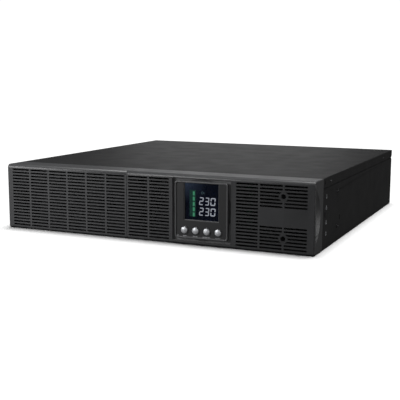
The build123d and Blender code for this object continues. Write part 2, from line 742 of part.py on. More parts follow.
def input_filter():
    """Screened filter can between the inlet and the main board."""
    can = block((72.0, 116.0), (d(318), d(384)), (BOARD_TOP, 46))
    can = fillet(can.edges().filter_by(Axis.Z), 3.0)
    lid = block((70.8, 117.2), (d(316.8), d(385.2)), (45.9, 47.4))
    tabs = [block(around(x, 3.1), (d(384), d(391)), (30, 30.8)) for x in FILTER_TABS]
    return fuse([can, lid, *tabs])


def power_wiring():
    """Mains leads from the inlet tabs to the filter tabs."""
    leads = []
    pin_end = PANEL_IN - INLET_PIN
    for i, (inlet_x, inlet_z) in enumerate(inlet_pin_spots()):
        x = FILTER_TABS[i]
        route = [
            (x, d(391.1), 30.4),
            (x, d(397), 30.4),
            (inlet_x, d(405), inlet_z),
            (inlet_x, pin_end - RIM, inlet_z),
        ]
        leads.append(wire(route, 3.0))
    return group(leads)


# ---------------------------------------------------------------- rear panel and ports
def fan_corners():
    return [(FAN_X + a * FAN_HOLE, FAN_Z + b * FAN_HOLE) for a in (1, -1) for b in (1, -1)]


def bank_half():
    return BANK_SIZE[0] / 2 - 2.5, BANK_SIZE[1] / 2 - 2.5


def rear_panel():
    plate = block((-FLANGE_INNER + 0.2, FLANGE_INNER - 0.2), (PANEL_IN, REAR), (SHEET + 0.1, HEIGHT - 1.4))
    fold = block((-200, 200), (PANEL_IN - 11, PANEL_IN + 0.1), (HEIGHT - 2.6, HEIGHT - 1.4))
    y = (PANEL_IN - 1, REAR + 1)
    half_x, half_z = bank_half()
    cuts = [rod_y(FAN_X, FAN_Z, FAN_DUCT_R, y)]
    cuts += [rod_y(x, z, 2.3, y) for x, z in fan_corners()]
    cuts.append(block(around(INLET_X, 14.2), y, around(INLET_Z, 11.2)))
    cuts += [rod_y(INLET_X + s * 20, INLET_Z, 1.6, y) for s in (1, -1)]
    cuts.append(rod_y(BREAKER_X, BREAKER_Z, 5.6, y))
    cuts += [block(around(x, half_x + 0.2), y, around(44.0, half_z + 0.2)) for x in BANKS_X]
    cuts.append(block(around(SLOT_X, SLOT_SIZE[0] / 2 - 9), y, around(SLOT_Z, SLOT_SIZE[1] / 2 - 4)))
    cuts += [rod_y(SLOT_X + s * 37, SLOT_Z, 1.6, y) for s in (1, -1)]
    cuts.append(block(around(USB_X, 6.15), y, around(PORT_Z, 5.65)))
    cuts.append(block(around(SERIAL_X, 10.4), y, around(PORT_Z, 5.6)))
    cuts += [rod_y(SERIAL_X + s * 12.5, PORT_Z, 1.6, y) for s in (1, -1)]
    cuts.append(block(around(EPO_X, 6.2), y, around(PORT_Z, 5.2)))
    cuts.append(block(around(JACKS_X, 15.65), y, around(PORT_Z, 7.65)))
    cuts.append(rod_y(*GROUND, 2.1, y))
    for row in range(7):
        z = 40 + 5.2 * row
        cuts.append(block((-208, -176), y, (z, z + 2.4)))
    cuts += [rod_y(x, HEIGHT - 5, 1.3, y) for x in REAR_LIP_SCREWS]
    return plate + fold - cuts


def fan_frame():
    y = (PANEL_IN - FAN_THICK, PANEL_IN)
    body = block(around(FAN_X, FAN_SIZE / 2), y, around(FAN_Z, FAN_SIZE / 2))
    body = fillet(body.edges().filter_by(Axis.Y), 4.0)
    body = body - rod_y(FAN_X, FAN_Z, FAN_DUCT_R, (y[0] - 1, y[1] + 1))
    waist = block(around(FAN_X, 50), (y[0] + 4, y[1] - 4), around(FAN_Z, 50))
    waist = waist - rod_y(FAN_X, FAN_Z, FAN_DUCT_R + 1.8, (y[0], y[1]))
    corner_posts = [rod_y(x, z, 4.1, (y[0] + 3, y[1] - 3)) for x, z in fan_corners()]
    body = body - waist + corner_posts
    boss = rod_y(FAN_X, FAN_Z, 17.0, (y[0], y[0] + 3.0))
    pin = rod_y(FAN_X, FAN_Z, 4.0, (y[0] + 2.9, y[0] + 14.0))
    struts = []
    for i in range(4):
        strut = Rot(0, i * 90 + 30, 0) * block((15, FAN_DUCT_R + 1.2), (y[0], y[0] + 3), (-1.4, 1.4))
        struts.append(Pos(FAN_X, 0, FAN_Z) * strut)
    body = body + [boss, pin, *struts]
    return body - [rod_y(x, z, 2.15, (y[0] - 1, y[1] + 1)) for x, z in fan_corners()]


def fan_rotor():
    """Seven pitched blades on a cup that turns about the frame's pin."""
    y = (PANEL_IN - FAN_THICK + 3.6, PANEL_IN - 1.5)
    hub = rod_y(FAN_X, FAN_Z, 17.0, y) - rod_y(FAN_X, FAN_Z, 15.0, (y[0] - 1, y[0] + 2))
    hub = hub - rod_y(FAN_X, FAN_Z, 4.06, (y[0] - 1, y[0] + 11))
    hub = fillet(edge_near(hub, FAN_X, y[1], FAN_Z + 17), 2.0)
    sweep_zone = rod_y(FAN_X, FAN_Z, 36.8, y) - rod_y(FAN_X, FAN_Z, 16.5, (y[0] - 1, y[1] + 1))
    blades = []
    middle = (y[0] + y[1]) / 2
    for i in range(7):
        plate = Rot(38, 0, 0) * Box(26, 40, 1.5)
        blade = Pos(FAN_X, middle, FAN_Z) * Rot(0, i * 360 / 7, 0) * Pos(26, 0, 0) * plate
        blades.append(blade & sweep_zone)
    return hub + blades


def fan_guard():
    """Wire finger guard outside the rear panel: rings on two diagonal bars."""
    y = REAR + GUARD_WIRE + 0.2
    rings = [
        Pos(FAN_X, y + 1.1, FAN_Z) * Rot(90, 0, 0) * Torus(r, GUARD_WIRE) for r in (10, 19, 28, 37)
    ]
    reach = FAN_HOLE * math.sqrt(2) - 3.7
    bars, eyes = [], []
    for angle in (45, 135, 225, 315):
        bar = Rot(0, angle, 0) * rod_x(0, 0, GUARD_WIRE, (10.0, reach))
        bars.append(Pos(FAN_X, y, FAN_Z) * bar)
    for x, z in fan_corners():
        eye = rod_y(x, z, 3.9, (REAR + 0.05, REAR + 1.6)) - rod_y(x, z, 2.3, (REAR - 1, REAR + 3))
        eyes.append(eye)
    return fuse([*bars, *rings, *eyes])


def fan_screws():
    return group(pan_screw_y(x, z, 3.6, 2.2, 1.9, REAR + 1.65, 12.0, 1) for x, z in fan_corners())


def connector_outline(width, height, cut, y, x0, z0):
    """Mains connector outline: a rectangle with its two upper corners cut off."""
    outline = block(around(x0, width / 2), y, around(z0, height / 2))
    corners = [e for e in outline.edges().filter_by(Axis.Y) if e.center().Z > z0]
    return chamfer(corners, cut)


def mains_inlet():
    y = (PANEL_IN - 18, REAR + 2.5)
    flange = block(around(INLET_X, 25), (REAR, REAR + 2.5), around(INLET_Z, 13))
    flange = fillet(flange.edges().filter_by(Axis.Y), 4.0)
    body = block(around(INLET_X, 14), (y[0], REAR + 0.1), around(INLET_Z, 11))
    cavity = connector_outline(24.4, 17.2, 4.6, (REAR - 14.5, REAR + 3), INLET_X, INLET_Z)
    holes = [rod_y(INLET_X + s * 20, INLET_Z, 1.7, (REAR - 1, REAR + 3)) for s in (1, -1)]
    pin_slots = [block(around(x, 1.05), (y[0] - 1, REAR), around(z, 2.05)) for x, z in inlet_pin_spots()]
    return flange + body - cavity - holes - pin_slots


def inlet_pin_spots():
    return [(INLET_X - 7, INLET_Z - 2), (INLET_X, INLET_Z + 2), (INLET_X + 7, INLET_Z - 2)]


def inlet_pins():
    pins = []
    for x, z in inlet_pin_spots():
        pin = block(around(x, 1), (PANEL_IN - INLET_PIN, REAR + 0.5), around(z, 2))
        pins.append(chamfer(pin.faces().sort_by(Axis.Y)[-1].edges(), 0.6))
    return group(pins)


def outlet_cuts(x, z):
    """Moat and three contact slots of one outlet."""
    moat_y = (REAR - 13, REAR + 3)
    moat = connector_outline(25.6, 17.8, 4.8, moat_y, x, z)
    island = connector_outline(20.8, 13.0, 4.2, (REAR - 14, REAR + 1.2), x, z)
    contacts = [
        block(around(x + a, 1.3), (REAR - 10, REAR + 2), around(z + b, 2.5))
        for a, b in ((-7, -1.6), (0, 1.8), (7, -1.6))
    ]
    return [moat - island, *contacts]


def outlet_bank(centre_x):
    half_x, half_z = bank_half()
    flange = block(
        around(centre_x, BANK_SIZE[0] / 2), (REAR, REAR + 1.8), around(44.0, BANK_SIZE[1] / 2)
    )
    flange = fillet(flange.edges().filter_by(Axis.Y), 2.0)
    body = block(around(centre_x, half_x), (PANEL_IN - 18, REAR + 0.1), around(44.0, half_z))
    cuts = []
    for a in (-1, 1):
        for b in (-1, 1):
            cuts += outlet_cuts(centre_x + a * OUTLET_PITCH[0] / 2, 44.0 + b * OUTLET_PITCH[1] / 2)
    return flange + body - cuts


def breaker_body():
    body = block(around(BREAKER_X, 10), (PANEL_IN - 28, PANEL_IN - RIM), around(BREAKER_Z, 11))
    neck = rod_y(BREAKER_X, BREAKER_Z, 5.5, (PANEL_IN - 1, REAR + 4.0))
    nut = Rot(90, 0, 0) * extrude(RegularPolygon(7.6, 6), 2.6)
    nut = Pos(BREAKER_X, REAR + 2.7, BREAKER_Z) * nut
    bore = rod_y(BREAKER_X, BREAKER_Z, 3.56, (PANEL_IN - 10, REAR + 5))
    return fuse([body, neck, nut]) - bore


def breaker_button():
    button_y = (PANEL_IN - 9, REAR + 6.5)
    return fillet(
        edge_near(rod_y(BREAKER_X, BREAKER_Z, 3.5, button_y), BREAKER_X, button_y[1], BREAKER_Z + 3.5), 0.8
    )


def usb_port():
    shell = block(around(USB_X, 6), (REAR - 16, REAR + 0.8), around(PORT_Z, 5.5))
    cavity = connector_outline(8.6, 7.9, 1.6, (REAR - 9, REAR + 2), USB_X, PORT_Z)
    tongue = block(around(USB_X, 2.8), (REAR - 9.1, REAR - 0.8), around(PORT_Z, 1.6))
    return shell - cavity + tongue


def d_outline(width, height, y):
    """D-shaped connector outline, narrower at the bottom."""
    slant = height * math.tan(math.radians(10))
    points = [
        (SERIAL_X - width / 2, PORT_Z + height / 2),
        (SERIAL_X + width / 2, PORT_Z + height / 2),
        (SERIAL_X + width / 2 - slant, PORT_Z - height / 2),
        (SERIAL_X - width / 2 + slant, PORT_Z - height / 2),
    ]
    face = make_face(Polyline(*points, close=True))
    face = fillet(face.vertices(), 1.8)
    solid = extrude(Plane.XZ * face, -(y[1] - y[0]))
    return Pos(0, y[0], 0) * solid


def serial_port():
    flange = block(around(SERIAL_X, 15.5), (REAR, REAR + 1.0), around(PORT_Z, 6.3))
    flange = fillet(flange.edges().filter_by(Axis.Y), 1.5)
    body = block(around(SERIAL_X, 9.8), (REAR - 12, REAR + 0.1), around(PORT_Z, 5.0))
    shell = d_outline(18.0, 9.4, (REAR + 0.9, REAR + 5.8))
    cavity = d_outline(16.6, 8.0, (REAR - 1, REAR + 7))
    contacts = []
    for count, z in ((5, 1.4), (4, -1.4)):
        for i in range(count):
            x = SERIAL_X + (i - (count - 1) / 2) * 2.76
            contacts.append(rod_y(x, PORT_Z + z, 0.5, (REAR - 1.2, REAR + 4.0)))
    jack_nuts = []
    for s in (1, -1):
        nut = Rot(90, 0, 0) * extrude(RegularPolygon(2.7, 6), 5.0)
        nut = Pos(SERIAL_X + s * 12.5, REAR + 6.0, PORT_Z) * nut
        stud = rod_y(SERIAL_X + s * 12.5, PORT_Z, 1.45, (REAR - 4, REAR + 1.2))
        jack_nuts.append(nut + stud)
    return flange + body + shell - cavity + contacts + jack_nuts


def network_jacks():
    block_y = (REAR - 15, REAR + 0.8)
    body = block(around(JACKS_X, 15.5), block_y, around(PORT_Z, 7.5))
    cuts = []
    for x in jack_centres():
        cuts.append(block(around(x, 5.9), (REAR - 12, REAR + 2), (PORT_Z - 2.4, PORT_Z + 5.2)))
        cuts.append(block(around(x, 3.0), (REAR - 12, REAR + 2), (PORT_Z - 5.0, PORT_Z - 2.3)))
    return body - cuts


def jack_centres():
    return [JACKS_X - 7.4, JACKS_X + 7.4]


def epo_header():
    body = block(around(EPO_X, 6), (REAR - 11, REAR + 0.8), around(PORT_Z, 5))
    return body - block(around(EPO_X, 5.1), (REAR - 8.6, REAR + 2), around(PORT_Z, 4.1))


def epo_plug():
    y = (REAR - 8.5, REAR + REAR_PROUD)
    body = block(around(EPO_X, 5.0), y, around(PORT_Z, 4.0))
    wires = [rod_y(EPO_X + s * 2.5, PORT_Z - 1.2, 1.2, (REAR, REAR + 9)) for s in (1, -1)]
    screws = [rod_z(EPO_X + s * 2.5, REAR + 4.5, 1.3, (PORT_Z + 2.6, PORT_Z + 5)) for s in (1, -1)]
    return body - wires - screws


def slot_cover():
    y = (REAR + RIM, REAR + SHEET)
    plate = block(around(SLOT_X, SLOT_SIZE[0] / 2), y, around(SLOT_Z, SLOT_SIZE[1] / 2))
    plate = fillet(plate.edges().filter_by(Axis.Y), 2.0)
    rib = block(around(SLOT_X, 26), (REAR + SHEET - 0.1, REAR + 2.0), around(SLOT_Z, 9))
    rib = fillet(rib.edges().filter_by(Axis.Y), 4.0)
    return plate + rib - [rod_y(SLOT_X + s * 37, SLOT_Z, 1.7, (REAR - 1, REAR + 2)) for s in (1, -1)]


def ground_screw():
    """Earth stud with its washer and hexagon nut."""
    x, z = GROUND
    nut = Pos(x, REAR + 4.2, z) * Rot(90, 0, 0) * extrude(RegularPolygon(4.6, 6), 3.2)
    washer = rod_y(x, z, 5.0, (REAR + RIM, REAR + 1.1))
    stud = rod_y(x, z, 2.0, (REAR - 9, REAR + 6.5))
    return fuse([stud, washer, nut])


def rear_screws():
    screws = [pan_screw_y(x, HEIGHT - 5, 2.7, 1.6, 1.25, REAR + SHEET, 6.0, 1) for x in REAR_LIP_SCREWS]
    screws += [
        pan_screw_y(INLET_X + s * 20, INLET_Z, 2.9, 1.8, 1.5, REAR + 2.5, 8.0, 1) for s in (1, -1)
    ]
    screws += [
        pan_screw_y(SLOT_X + s * 37, SLOT_Z, 3.0, 1.8, 1.5, REAR + SHEET, 6.0, 1) for s in (1, -1)
    ]
    return group(screws)


# ---------------------------------------------------------------- the assembly
def assembly():
    """Every sub-part by its node name."""
    parts = {
        "chassis_base": chassis_base(),
        "top_cover": top_cover(),
        "rear_panel": rear_panel(),
        "front_bulkhead": front_bulkhead(),
        "bay_partition": bay_partition(),
        "front_bezel": front_bezel(),
        "bezel_screws": bezel_screws(),
        "cover_screws": cover_screws(),
        "side_screws": side_screws(),
        "rack_ear_inserts": rack_ear_inserts(),
        "rear_screws": rear_screws(),
        "main_board": main_board(),
        "board_standoffs": board_standoffs(),
        "rectifier_heatsink": heatsink(104.0, 1),
        "inverter_heatsink": heatsink(196.0, -1),
        "power_transistors": power_transistors(),
        "bus_capacitors": bus_capacitors(),
        "pfc_inductors": pfc_inductors(),
        "charger_transformer": charger_transformer(),
        "transfer_relays": transfer_relays(),
        "control_board": control_board(),
        "input_filter": input_filter(),
        "power_wiring": power_wiring(),
        "fan_frame": fan_frame(),
        "fan_rotor": fan_rotor(),
        "fan_guard": fan_guard(),
        "fan_screws": fan_screws(),
        "mains_inlet": mains_inlet(),
        "inlet_pins": inlet_pins(),
        "outlet_bank_a": outlet_bank(BANKS_X[0]),
        "outlet_bank_b": outlet_bank(BANKS_X[1]),
        "breaker_body": breaker_body(),
        "breaker_button": breaker_button(),
        "usb_port": usb_port(),
        "serial_port": serial_port(),
        "network_jacks": network_jacks(),
        "epo_header": epo_header(),
        "epo_plug": epo_plug(),
        "slot_cover": slot_cover(),
        "ground_screw": ground_screw(),
        "battery_socket": battery_socket(),
        "battery_tray": battery_tray(),
        "tray_handle": tray_handle(),
        "tray_screws": tray_screws(),
        "battery_front": battery(0),
        "battery_middle": battery(1),
        "battery_rear": battery(2),
        "battery_leads": battery_leads(),
        "battery_plug": battery_plug(),
        "front_cover": front_cover(),
        "display_cable": display_cable(),
        "display_frame": display_frame(),
        "display_window": display_window(),
        "lcd_panel": lcd_panel(),
        "display_housing": display_housing(),
        "display_board": display_board(),
    }
    names = ("button_on", "button_off", "button_mode", "button_enter")
    for name, spot in zip(names, button_spots()):
        parts[name] = button(*spot)
    return parts


def main():
    os.makedirs("parts", exist_ok=True)
    for name, shape in assembly().items():
        export_step(shape, f"parts/{name}.step")


main()
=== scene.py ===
import json
import math
import random

import bmesh
import bpy
from mathutils import Matrix, Vector


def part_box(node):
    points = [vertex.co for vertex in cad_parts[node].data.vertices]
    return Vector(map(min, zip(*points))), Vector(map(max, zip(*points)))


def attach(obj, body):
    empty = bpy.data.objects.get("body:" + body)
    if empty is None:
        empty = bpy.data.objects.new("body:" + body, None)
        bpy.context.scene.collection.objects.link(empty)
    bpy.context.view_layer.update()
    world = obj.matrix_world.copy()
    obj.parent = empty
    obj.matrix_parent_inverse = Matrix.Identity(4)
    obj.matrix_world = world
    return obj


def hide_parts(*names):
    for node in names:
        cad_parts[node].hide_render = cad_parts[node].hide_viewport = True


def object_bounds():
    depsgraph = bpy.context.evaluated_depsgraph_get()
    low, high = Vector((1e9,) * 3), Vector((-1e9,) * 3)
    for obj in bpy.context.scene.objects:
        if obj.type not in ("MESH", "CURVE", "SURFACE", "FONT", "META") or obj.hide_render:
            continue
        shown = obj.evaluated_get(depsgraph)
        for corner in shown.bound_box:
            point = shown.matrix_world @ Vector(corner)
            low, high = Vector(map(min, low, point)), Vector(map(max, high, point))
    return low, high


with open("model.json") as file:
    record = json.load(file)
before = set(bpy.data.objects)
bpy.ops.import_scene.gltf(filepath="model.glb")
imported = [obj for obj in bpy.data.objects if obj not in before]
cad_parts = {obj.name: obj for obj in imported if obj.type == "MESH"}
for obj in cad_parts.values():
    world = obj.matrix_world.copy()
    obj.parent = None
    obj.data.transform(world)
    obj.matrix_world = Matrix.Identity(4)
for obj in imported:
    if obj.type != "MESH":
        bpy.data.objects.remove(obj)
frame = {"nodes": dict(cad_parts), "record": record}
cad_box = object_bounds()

MM = 0.001
NODES = frame["nodes"]


# ------------------------------------------------------------------ places, read from the frame
def centre(node):
    low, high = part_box(node)
    return (low + high) / 2


AMBIENT = 0.05  # world light on the part; the backdrop itself is seen white
BEAD_RISE = 1.2 * MM  # the bead's top, ahead of the display plate
PLATE_SUNK = 0.2 * MM  # the display plate, behind the bezel face
POCKET_DEEP = 4.8 * MM
POCKET_HALF = 39.75 * MM
DRUM_HOLE = 39.5 * MM  # clears the turning drum

FACE_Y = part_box("front_bezel")[0].y
PANEL_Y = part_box("rear_panel")[1].y
SCREEN = centre("display_frame")
SCREEN_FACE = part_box("display_frame")[0].y + BEAD_RISE
BUTTONS = {
    "button_on": "on_button",
    "button_off": "off_button",
    "button_mode": "mode_button",
    "button_enter": "enter_button",
}


# ------------------------------------------------------------------ material helpers
class Tree:
    """A material's node tree, with short calls for the nodes used here."""

    def __init__(self, name):
        self.material = bpy.data.materials.new(name)
        self.material.use_nodes = True
        self.tree = self.material.node_tree
        self.tree.nodes.clear()
        self.coords = self.add("ShaderNodeTexCoord").outputs["Object"]

    def add(self, kind, inputs=None, **settings):
        made = self.tree.nodes.new(kind)
        for key, value in settings.items():
            setattr(made, key, value)
        for key, value in (inputs or {}).items():
            self.put(made.inputs[key], value)
        return made

    def put(self, socket, value):
        if isinstance(value, bpy.types.NodeSocket):
            self.tree.links.new(value, socket)
        else:
            socket.default_value = value

    def stretched(self, scale):
        return self.add("ShaderNodeMapping", {"Vector": self.coords, "Scale": scale}).outputs["Vector"]

    def noise(self, size_mm, detail=2.0, vector=None, rough=0.5):
        inputs = {"Vector": vector or self.coords, "Scale": 1000.0 / size_mm}
        inputs.update({"Detail": detail, "Roughness": rough})
        return self.add("ShaderNodeTexNoise", inputs).outputs["Fac"]

    def ramp(self, value, stops):
        made = self.add("ShaderNodeValToRGB", {"Fac": value})
        elements = made.color_ramp.elements
        while len(elements) < len(stops):
            elements.new(0.5)
        for element, (place, level) in zip(elements, stops):
            element.position = place
            element.color = (level, level, level, 1.0)
        return made.outputs["Color"]

    def span(self, value, low, high, source=(0.0, 1.0)):
        inputs = {"Value": value, "To Min": low, "To Max": high}
        inputs.update({"From Min": source[0], "From Max": source[1]})
        return self.add("ShaderNodeMapRange", inputs).outputs["Result"]

    def mix(self, factor, a, b, blend="MIX"):
        made = self.add("ShaderNodeMix", data_type="RGBA", blend_type=blend)
        self.put(made.inputs[0], factor)
        self.put(made.inputs[6], a)
        self.put(made.inputs[7], b)
        return made.outputs[2]

    def math(self, operation, a, b=0.0):
        made = self.add("ShaderNodeMath", operation=operation)
        self.put(made.inputs[0], a)
        self.put(made.inputs[1], b)
        return made.outputs[0]

    def bump(self, height, depth_mm, strength=1.0, normal=None):
        inputs = {"Height": height, "Distance": depth_mm * MM, "Strength": strength}
        if normal is not None:
            inputs["Normal"] = normal
        return self.add("ShaderNodeBump", inputs).outputs["Normal"]

    def edges(self, low=0.52, high=0.62):
        """1 on convex edges: the mask for worn edges and for a painted edge highlight."""
        point = self.add("ShaderNodeNewGeometry").outputs["Pointiness"]
        return self.span(point, 0.0, 1.0, (low, high))

    def surface(self, inputs):
        shader = self.add("ShaderNodeBsdfPrincipled", inputs)
        return self.close(shader.outputs["BSDF"])

    def close(self, shader):
        out = self.add("ShaderNodeOutputMaterial")
        self.tree.links.new(shader, out.inputs["Surface"])
        return self.material


def rgb(r, g, b):
    return (r, g, b, 1.0)


def scaled(colour, factor):
    return rgb(*(min(1.0, c * factor) for c in colour[:3]))


def textured(name, colour, rough, grain_mm, depth_mm, vary=0.06, rub_and_sheen=0.3, specular=0.5, metal=0.0):
    """Moulded plastic or powder coat: even grain, slow mottling, edges paler as wear and as a painted
    highlight, faint dust.
    """
    t = Tree(name)
    grain = t.noise(grain_mm, 3.0)
    pores = t.noise(grain_mm * 3.1, 2.0)
    mottle = t.noise(48.0, 4.0)
    tone = t.mix(mottle, scaled(colour, 1.0 - vary), scaled(colour, 1.0 + vary))
    # Convex edges go towards a paler copy: partly worn edges, partly a painted highlight.
    tone = t.mix(t.math("MULTIPLY", t.edges(), rub_and_sheen), tone, scaled(colour, 2.2))
    dust = t.span(t.noise(9.0, 5.0, rough=0.7), 0.0, 0.015, (0.55, 0.8))
    tone = t.mix(dust, tone, rgb(0.32, 0.31, 0.30))
    smear = t.span(t.noise(27.0, 3.0), rough - 0.03, rough + 0.03, (0.3, 0.7))
    height = t.math("ADD", grain, t.math("MULTIPLY", pores, 0.6))
    return t.surface(
        {
            "Base Color": tone,
            "Roughness": smear,
            "Metallic": metal,
            "Specular IOR Level": specular,
            "Normal": t.bump(height, depth_mm),
        }
    )


def beaded(name, colour):
    """Display front: the plate's moulded grain, a raised glossy bead round its edge drawn much paler as a
    painted highlight, and a paler window bevel, also a painted highlight.
    """
    t = Tree(name)
    depth = t.add("ShaderNodeSeparateXYZ", {"Vector": t.coords}).outputs["Y"]
    bead = t.span(depth, 1.0, 0.0, (SCREEN_FACE - 0.25 * MM, SCREEN_FACE - 0.05 * MM))
    bead = t.math("MULTIPLY", bead, t.span(t.noise(1.2, 3.0), 0.85, 1.0))
    grain = t.noise(0.45, 3.0)
    tone = t.mix(t.noise(48.0, 4.0), scaled(colour, 0.94), scaled(colour, 1.06))
    # A paler copy on the window bevel just behind the face: a painted highlight.
    bevel = t.span(depth, 0.0, 1.0, (SCREEN_FACE + 0.1 * MM, SCREEN_FACE + 0.3 * MM))
    tone = t.mix(bevel, tone, scaled(colour, 2.6))
    # A much paler copy on the bead ahead of the face: a painted highlight.
    tone = t.mix(bead, tone, scaled(colour, 3.4))
    rough = t.add("ShaderNodeMix", {"Factor": bead}, data_type="FLOAT")
    rough.inputs["A"].default_value = 0.32
    rough.inputs["B"].default_value = 0.24
    return t.surface(
        {"Base Color": tone, "Roughness": rough.outputs["Result"], "Normal": t.bump(grain, 0.008)}
    )


def brushed(name, colour, rough, along=(1.0, 1.0, 1.0), line_mm=0.5, depth_mm=0.004, tarnish=0.3):
    """Metal with fine drawn lines: a large factor in along squeezes the lines across that axis."""
    t = Tree(name)
    lines = t.noise(line_mm, 3.0, t.stretched(along))
    stain = t.noise(14.0, 5.0, rough=0.65)
    tone = t.mix(t.span(stain, 0.0, tarnish, (0.45, 0.75)), colour, scaled(colour, 0.55))
    tone = t.mix(t.span(lines, 0.0, 0.12), tone, scaled(colour, 1.25))
    return t.surface(
        {
            "Base Color": tone,
            "Metallic": 1.0,
            "Roughness": t.span(stain, rough - 0.06, rough + 0.14, (0.3, 0.75)),
            "Normal": t.bump(lines, depth_mm),
        }
    )


def galvanised(name):
    """Zinc-coated sheet with its crystal spangle."""
    t = Tree(name)
    cells = t.add("ShaderNodeTexVoronoi", {"Vector": t.coords, "Scale": 1000.0 / 9.0}, feature="F1")
    spangle = t.add("ShaderNodeSeparateColor", {"Color": cells.outputs["Color"]}).outputs["Red"]
    bloom = t.noise(60.0, 4.0)
    tone = t.mix(spangle, rgb(0.42, 0.43, 0.45), rgb(0.62, 0.63, 0.64))
    tone = t.mix(t.span(bloom, 0.0, 0.35, (0.5, 0.8)), tone, rgb(0.72, 0.72, 0.70))
    return t.surface(
        {
            "Base Color": tone,
            "Metallic": 1.0,
            "Roughness": t.span(spangle, 0.34, 0.55),
            "Normal": t.bump(t.noise(0.9, 2.0), 0.01),
        }
    )


def circuit_board(name):
    """Green solder mask over copper tracks, with pale drill rings."""
    t = Tree(name)
    bricks = t.add("ShaderNodeTexBrick", {"Vector": t.coords, "Scale": 100.0, "Mortar Size": 0.06})
    bricks.inputs["Brick Width"].default_value = 0.9
    bricks.inputs["Row Height"].default_value = 0.26
    tracks = bricks.outputs["Fac"]
    dots = t.add("ShaderNodeTexVoronoi", {"Vector": t.coords, "Scale": 1000.0 / 6.0}, feature="F1")
    pads = t.ramp(dots.outputs["Distance"], [(0.0, 1.0), (0.16, 1.0), (0.18, 0.0)])
    tone = t.mix(tracks, rgb(0.012, 0.11, 0.045), rgb(0.03, 0.19, 0.08))
    tone = t.mix(t.math("MULTIPLY", pads, 0.8), tone, rgb(0.62, 0.60, 0.52))
    tone = t.mix(t.span(t.noise(30.0, 3.0), 0.0, 0.25), tone, rgb(0.02, 0.08, 0.04))
    return t.surface(
        {
            "Base Color": tone,
            "Roughness": t.span(t.noise(7.0, 3.0), 0.22, 0.42),
            "Metallic": t.math("MULTIPLY", pads, 0.6),
            "Normal": t.bump(tracks, 0.04),
        }
    )


def sleeve(name, colour, band_colour):
    """Shrink-sleeved can or lead: gloss plastic with a paler upright stripe."""
    t = Tree(name)
    inputs = {"Vector": t.coords, "Scale": 18.0, "Distortion": 0.4}
    wave = t.add("ShaderNodeTexWave", inputs, bands_direction="DIAGONAL")
    stripe = t.ramp(wave.outputs["Fac"], [(0.0, 0.0), (0.86, 0.0), (0.9, 1.0)])
    tone = t.mix(stripe, colour, band_colour)
    tone = t.mix(t.span(t.noise(6.0, 4.0), 0.0, 0.3), tone, scaled(colour, 0.6))
    return t.surface(
        {
            "Base Color": tone,
            "Roughness": t.span(t.noise(3.0, 2.0), 0.2, 0.38),
            "Normal": t.bump(t.noise(1.6, 3.0), 0.03),
        }
    )


def winding(name):
    """Enamelled copper: warm, glossy, with the turns' fine lines."""
    t = Tree(name)
    tone = t.mix(t.noise(4.0, 3.0), rgb(0.46, 0.17, 0.06), rgb(0.78, 0.36, 0.14))
    lines = t.noise(0.7, 2.0, t.stretched((1.0, 1.0, 4.0)))
    return t.surface(
        {
            "Base Color": tone,
            "Metallic": 0.85,
            "Roughness": t.span(lines, 0.22, 0.4),
            "Normal": t.bump(lines, 0.03),
            "Coat Weight": 0.6,
            "Coat Roughness": 0.15,
        }
    )


def striped(name, colour, line_colour, pitch_mm, direction="X", rough=0.4):
    """Flat cable or tape: parallel conductors or wraps."""
    t = Tree(name)
    scale = 1000.0 / pitch_mm / 6.2832 * 2.0
    wave = t.add("ShaderNodeTexWave", {"Vector": t.coords, "Scale": scale}, bands_direction=direction)
    tone = t.mix(t.span(wave.outputs["Fac"], 0.0, 1.0, (0.35, 0.65)), colour, line_colour)
    tone = t.mix(t.span(t.noise(8.0, 4.0), 0.0, 0.25), tone, scaled(colour, 0.6))
    return t.surface(
        {
            "Base Color": tone,
            "Roughness": t.span(t.noise(5.0), rough - 0.06, rough + 0.1),
            "Normal": t.bump(wave.outputs["Fac"], 0.08),
        }
    )


def satin_dome(name):
    """Satin-plated button: micro-blasted, with a slightly darker worn crown."""
    t = Tree(name)
    blast = t.noise(0.25, 2.0)
    wear = t.span(t.noise(5.0, 3.0), 0.0, 0.35, (0.4, 0.7))
    tone = t.mix(wear, rgb(0.56, 0.57, 0.59), rgb(0.46, 0.47, 0.50))
    return t.surface(
        {
            "Base Color": tone,
            "Metallic": 0.55,
            "Roughness": t.span(t.noise(3.0, 2.0), 0.46, 0.54),
            "Normal": t.bump(blast, 0.002),
        }
    )


def lens_clear(name):
    """Smoked clear lens: a tinted see-through layer under a gloss reflection."""
    t = Tree(name)
    tint = t.mix(t.noise(12.0, 2.0), rgb(0.60, 0.63, 0.68), rgb(0.64, 0.67, 0.72))
    clear = t.add("ShaderNodeBsdfTransparent", {"Color": tint})
    smear = t.span(t.noise(10.0, 4.0), 0.05, 0.16)
    gloss = t.add("ShaderNodeBsdfGlossy", {"Color": rgb(1, 1, 1), "Roughness": smear})
    fresnel = t.add("ShaderNodeFresnel", {"IOR": 1.2, "Normal": t.bump(t.noise(20.0), 0.01)})
    mixed = t.add("ShaderNodeMixShader")
    t.put(mixed.inputs[0], fresnel.outputs[0])
    t.tree.links.new(clear.outputs[0], mixed.inputs[1])
    t.tree.links.new(gloss.outputs[0], mixed.inputs[2])
    return t.close(mixed.outputs[0])


def lit(name, colour, strength, base=(0.02, 0.02, 0.02, 1.0)):
    """Backlit segment or lamp, a little uneven as liquid crystal is."""
    t = Tree(name)
    patch = t.span(t.noise(2.2, 2.0), strength * 0.85, strength * 1.1)
    return t.surface(
        {
            "Base Color": base,
            "Emission Color": colour,
            "Emission Strength": patch,
            "Roughness": t.span(t.noise(1.5), 0.35, 0.5),
        }
    )


